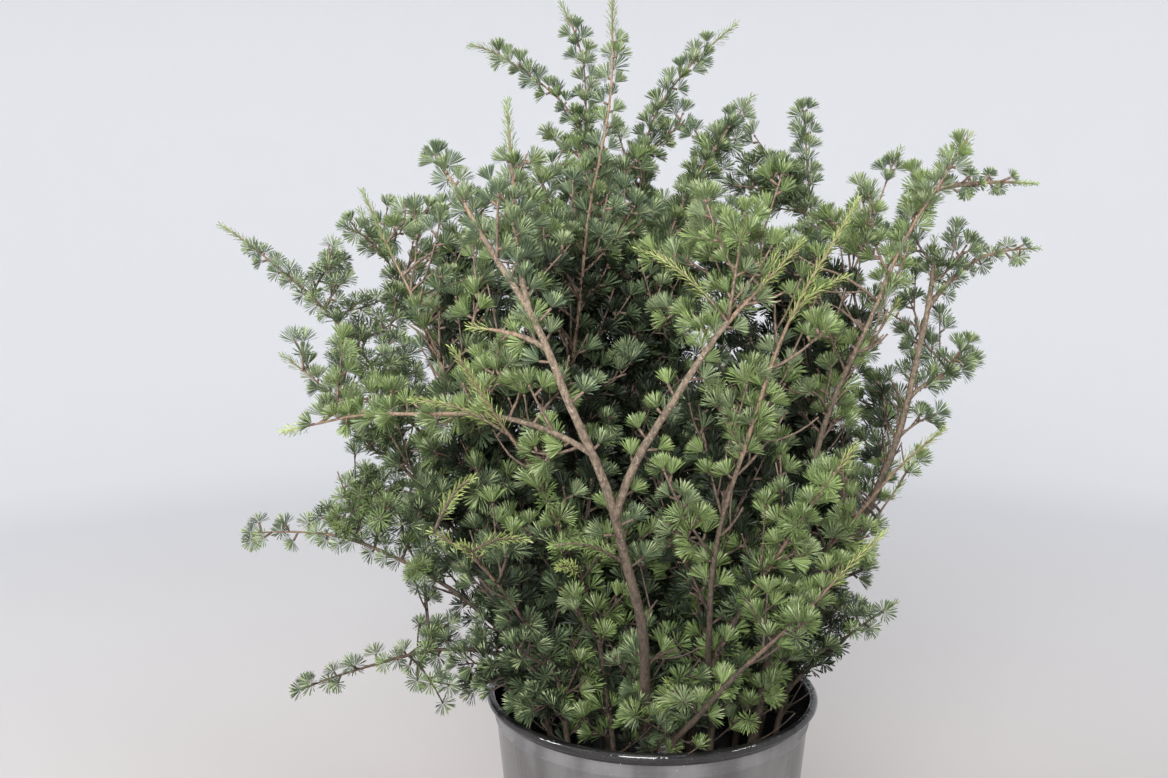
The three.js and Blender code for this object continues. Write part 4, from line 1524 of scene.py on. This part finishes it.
# %% Needle finishes
# shade_green and dark_green are painted shade, for rosettes under other tufts, low down and deep in the
# bunch.
TINTS = {
    "blue_green": (0.114, 0.160, 0.092),
    "grey_green": (0.172, 0.220, 0.112),
    "mid_green": (0.134, 0.188, 0.064),
    "fresh_green": (0.195, 0.263, 0.092),
    "shade_green": (0.086, 0.121, 0.058),
    "dark_green": (0.018, 0.026, 0.013),
    "pale_green": (0.285, 0.342, 0.174),
    "yellow_green": (0.300, 0.352, 0.120),
}
TINT_SPREAD = 0.22
NEEDLE_MOTTLE = {"scale": 140, "stretch": (1, 1, 1), "detail": 2, "ends": (0.35, 0.65)}
NEEDLE_SHINE = 0.3
NEEDLE_ROUGHNESS = 0.45
NEEDLE_ROUGHENS = 0.12


def needle_finish(name, tint):
    material, wire, shader = start_finish(name, Specular_IOR_Level=NEEDLE_SHINE)
    shade, light = times(tint, 1 - TINT_SPREAD), times(tint, 1 + TINT_SPREAD)
    mottle = patches(wire, **NEEDLE_MOTTLE)
    feed(shader, wire, "Base Color", mottle.colour(shade, light))
    feed(shader, wire, "Roughness", mottle * NEEDLE_ROUGHENS + NEEDLE_ROUGHNESS)
    return material


needle_finishes = [needle_finish("needles_" + name, tint) for name, tint in TINTS.items()]
tint_index = {name: index for index, name in enumerate(TINTS)}
print("needle finishes:", list(TINTS))

# %% Deal the tints to the rosettes
# Painted shade: the low, shade, dim and deep tints give darker greens to rosettes that the bunch shades.
FRONT_TINTS = ("mid_green", "fresh_green", "grey_green", "mid_green", "fresh_green")
BACK_TINTS = ("blue_green", "grey_green", "blue_green", "mid_green", "grey_green")
LOW_TINTS = ("shade_green", "blue_green", "shade_green", "shade_green", "mid_green")
SHADE_TINTS = ("shade_green", "shade_green", "mid_green")
DEEP_TINTS = ("dark_green", "dark_green", "dark_green", "shade_green")
LIT_DEEP_TINTS = ("dark_green", "shade_green", "mid_green", "dark_green", "mid_green")
DIM_TINTS = ("shade_green", "dark_green", "shade_green")
SHADE_COVER = 6
LOW_TOP = 580 * MM
DIM_TOP = 480 * MM
DIM_LEFT = -80 * MM
LIT_FRONT = -70 * MM
FRONT_STEMS_BEFORE = -60 * MM
FRONT_STEMS_TOP = 700 * MM


def is_in_front(stem):
    middle = stem["line"].at(stem["line"].length / 2)
    return middle[1] < FRONT_STEMS_BEFORE and middle[2] < FRONT_STEMS_TOP


stem_is_front = np.array([is_in_front(stem) for stem in stems])
is_low = spur_tips[:, 2] < LOW_TOP
is_lowest = spur_tips[:, 2] < DIM_TOP
is_lit_front = is_lowest & (spur_tips[:, 1] < LIT_FRONT) & (spur_tips[:, 0] > DIM_LEFT)
stem_is_loose = np.array([stem["name"] in LOOSE_STEMS for stem in stems])
is_dim = is_lowest & (spur_tips[:, 0] < DIM_LEFT) & ~stem_is_loose[rosette_owner]
tint_rng = rng_for("tints")


def tints_for(index):
    """The tints that a rosette's own is drawn from."""
    if is_deep[index]:
        return LIT_DEEP_TINTS if is_lit_front[index] else DEEP_TINTS
    if is_dim[index]:
        return DIM_TINTS
    if stem_is_front[rosette_owner[index]]:
        return FRONT_TINTS
    if cover[index] >= SHADE_COVER:
        return SHADE_TINTS
    return LOW_TINTS if is_low[index] else BACK_TINTS


rosette_tints = np.array([tint_index[tint_rng.choice(tints_for(index))] for index in range(len(spur_tips))])
print("rosettes in each tint:", dict(zip(TINTS, np.bincount(rosette_tints, minlength=len(TINTS)))))

# %% Make the needles
PALE_NEEDLES = 10
TUFT_KINDS = ((False, ROSETTE_NEEDLES, NEEDLE_WIDTH), (True, DEEP_ROSETTE_NEEDLES, DEEP_NEEDLE_WIDTH))
shoot_sector = sector_of_stem[[shoot["owner"] for shoot in shoots]]
for index, sector in enumerate(sector_names):
    rng = rng_for("needles", index)
    batches, tints = [], []
    for deep, each, width in TUFT_KINDS:
        here = (spur_sector == index) & (is_deep == deep)
        tufts = spur_tips[here], rosette_axes[here], rosette_owner[here]
        batches.append(rosette_needles(*tufts, each, width, rng))
        needle_tints = np.repeat(rosette_tints[here][:, None], each, axis=1)
        if not deep:
            needle_tints[:, :PALE_NEEDLES] = tint_index["pale_green"]
        tints.append(needle_tints.ravel())
    for shoot_index in np.flatnonzero(shoot_sector == index):
        owner = shoots[shoot_index]["owner"]
        batches.append(shoot_needles(shoots[shoot_index]["line"], tuft_size[owner], rng))
        tint = "yellow_green" if stem_is_front[owner] else "fresh_green"
        tints.append(np.full(len(batches[-1][0]), tint_index[tint]))
    parts = [np.concatenate(part) for part in zip(*batches)]
    corners, faces = needle_arrays(*parts)
    face_tints = np.repeat(np.concatenate(tints), len(needle_faces))
    piece = mesh_from_arrays("needles_" + sector, corners, faces, face_tints, needle_finishes)
    dress(piece, sector)
    print("needles", sector, "triangles:", len(faces))

# %% [markdown]
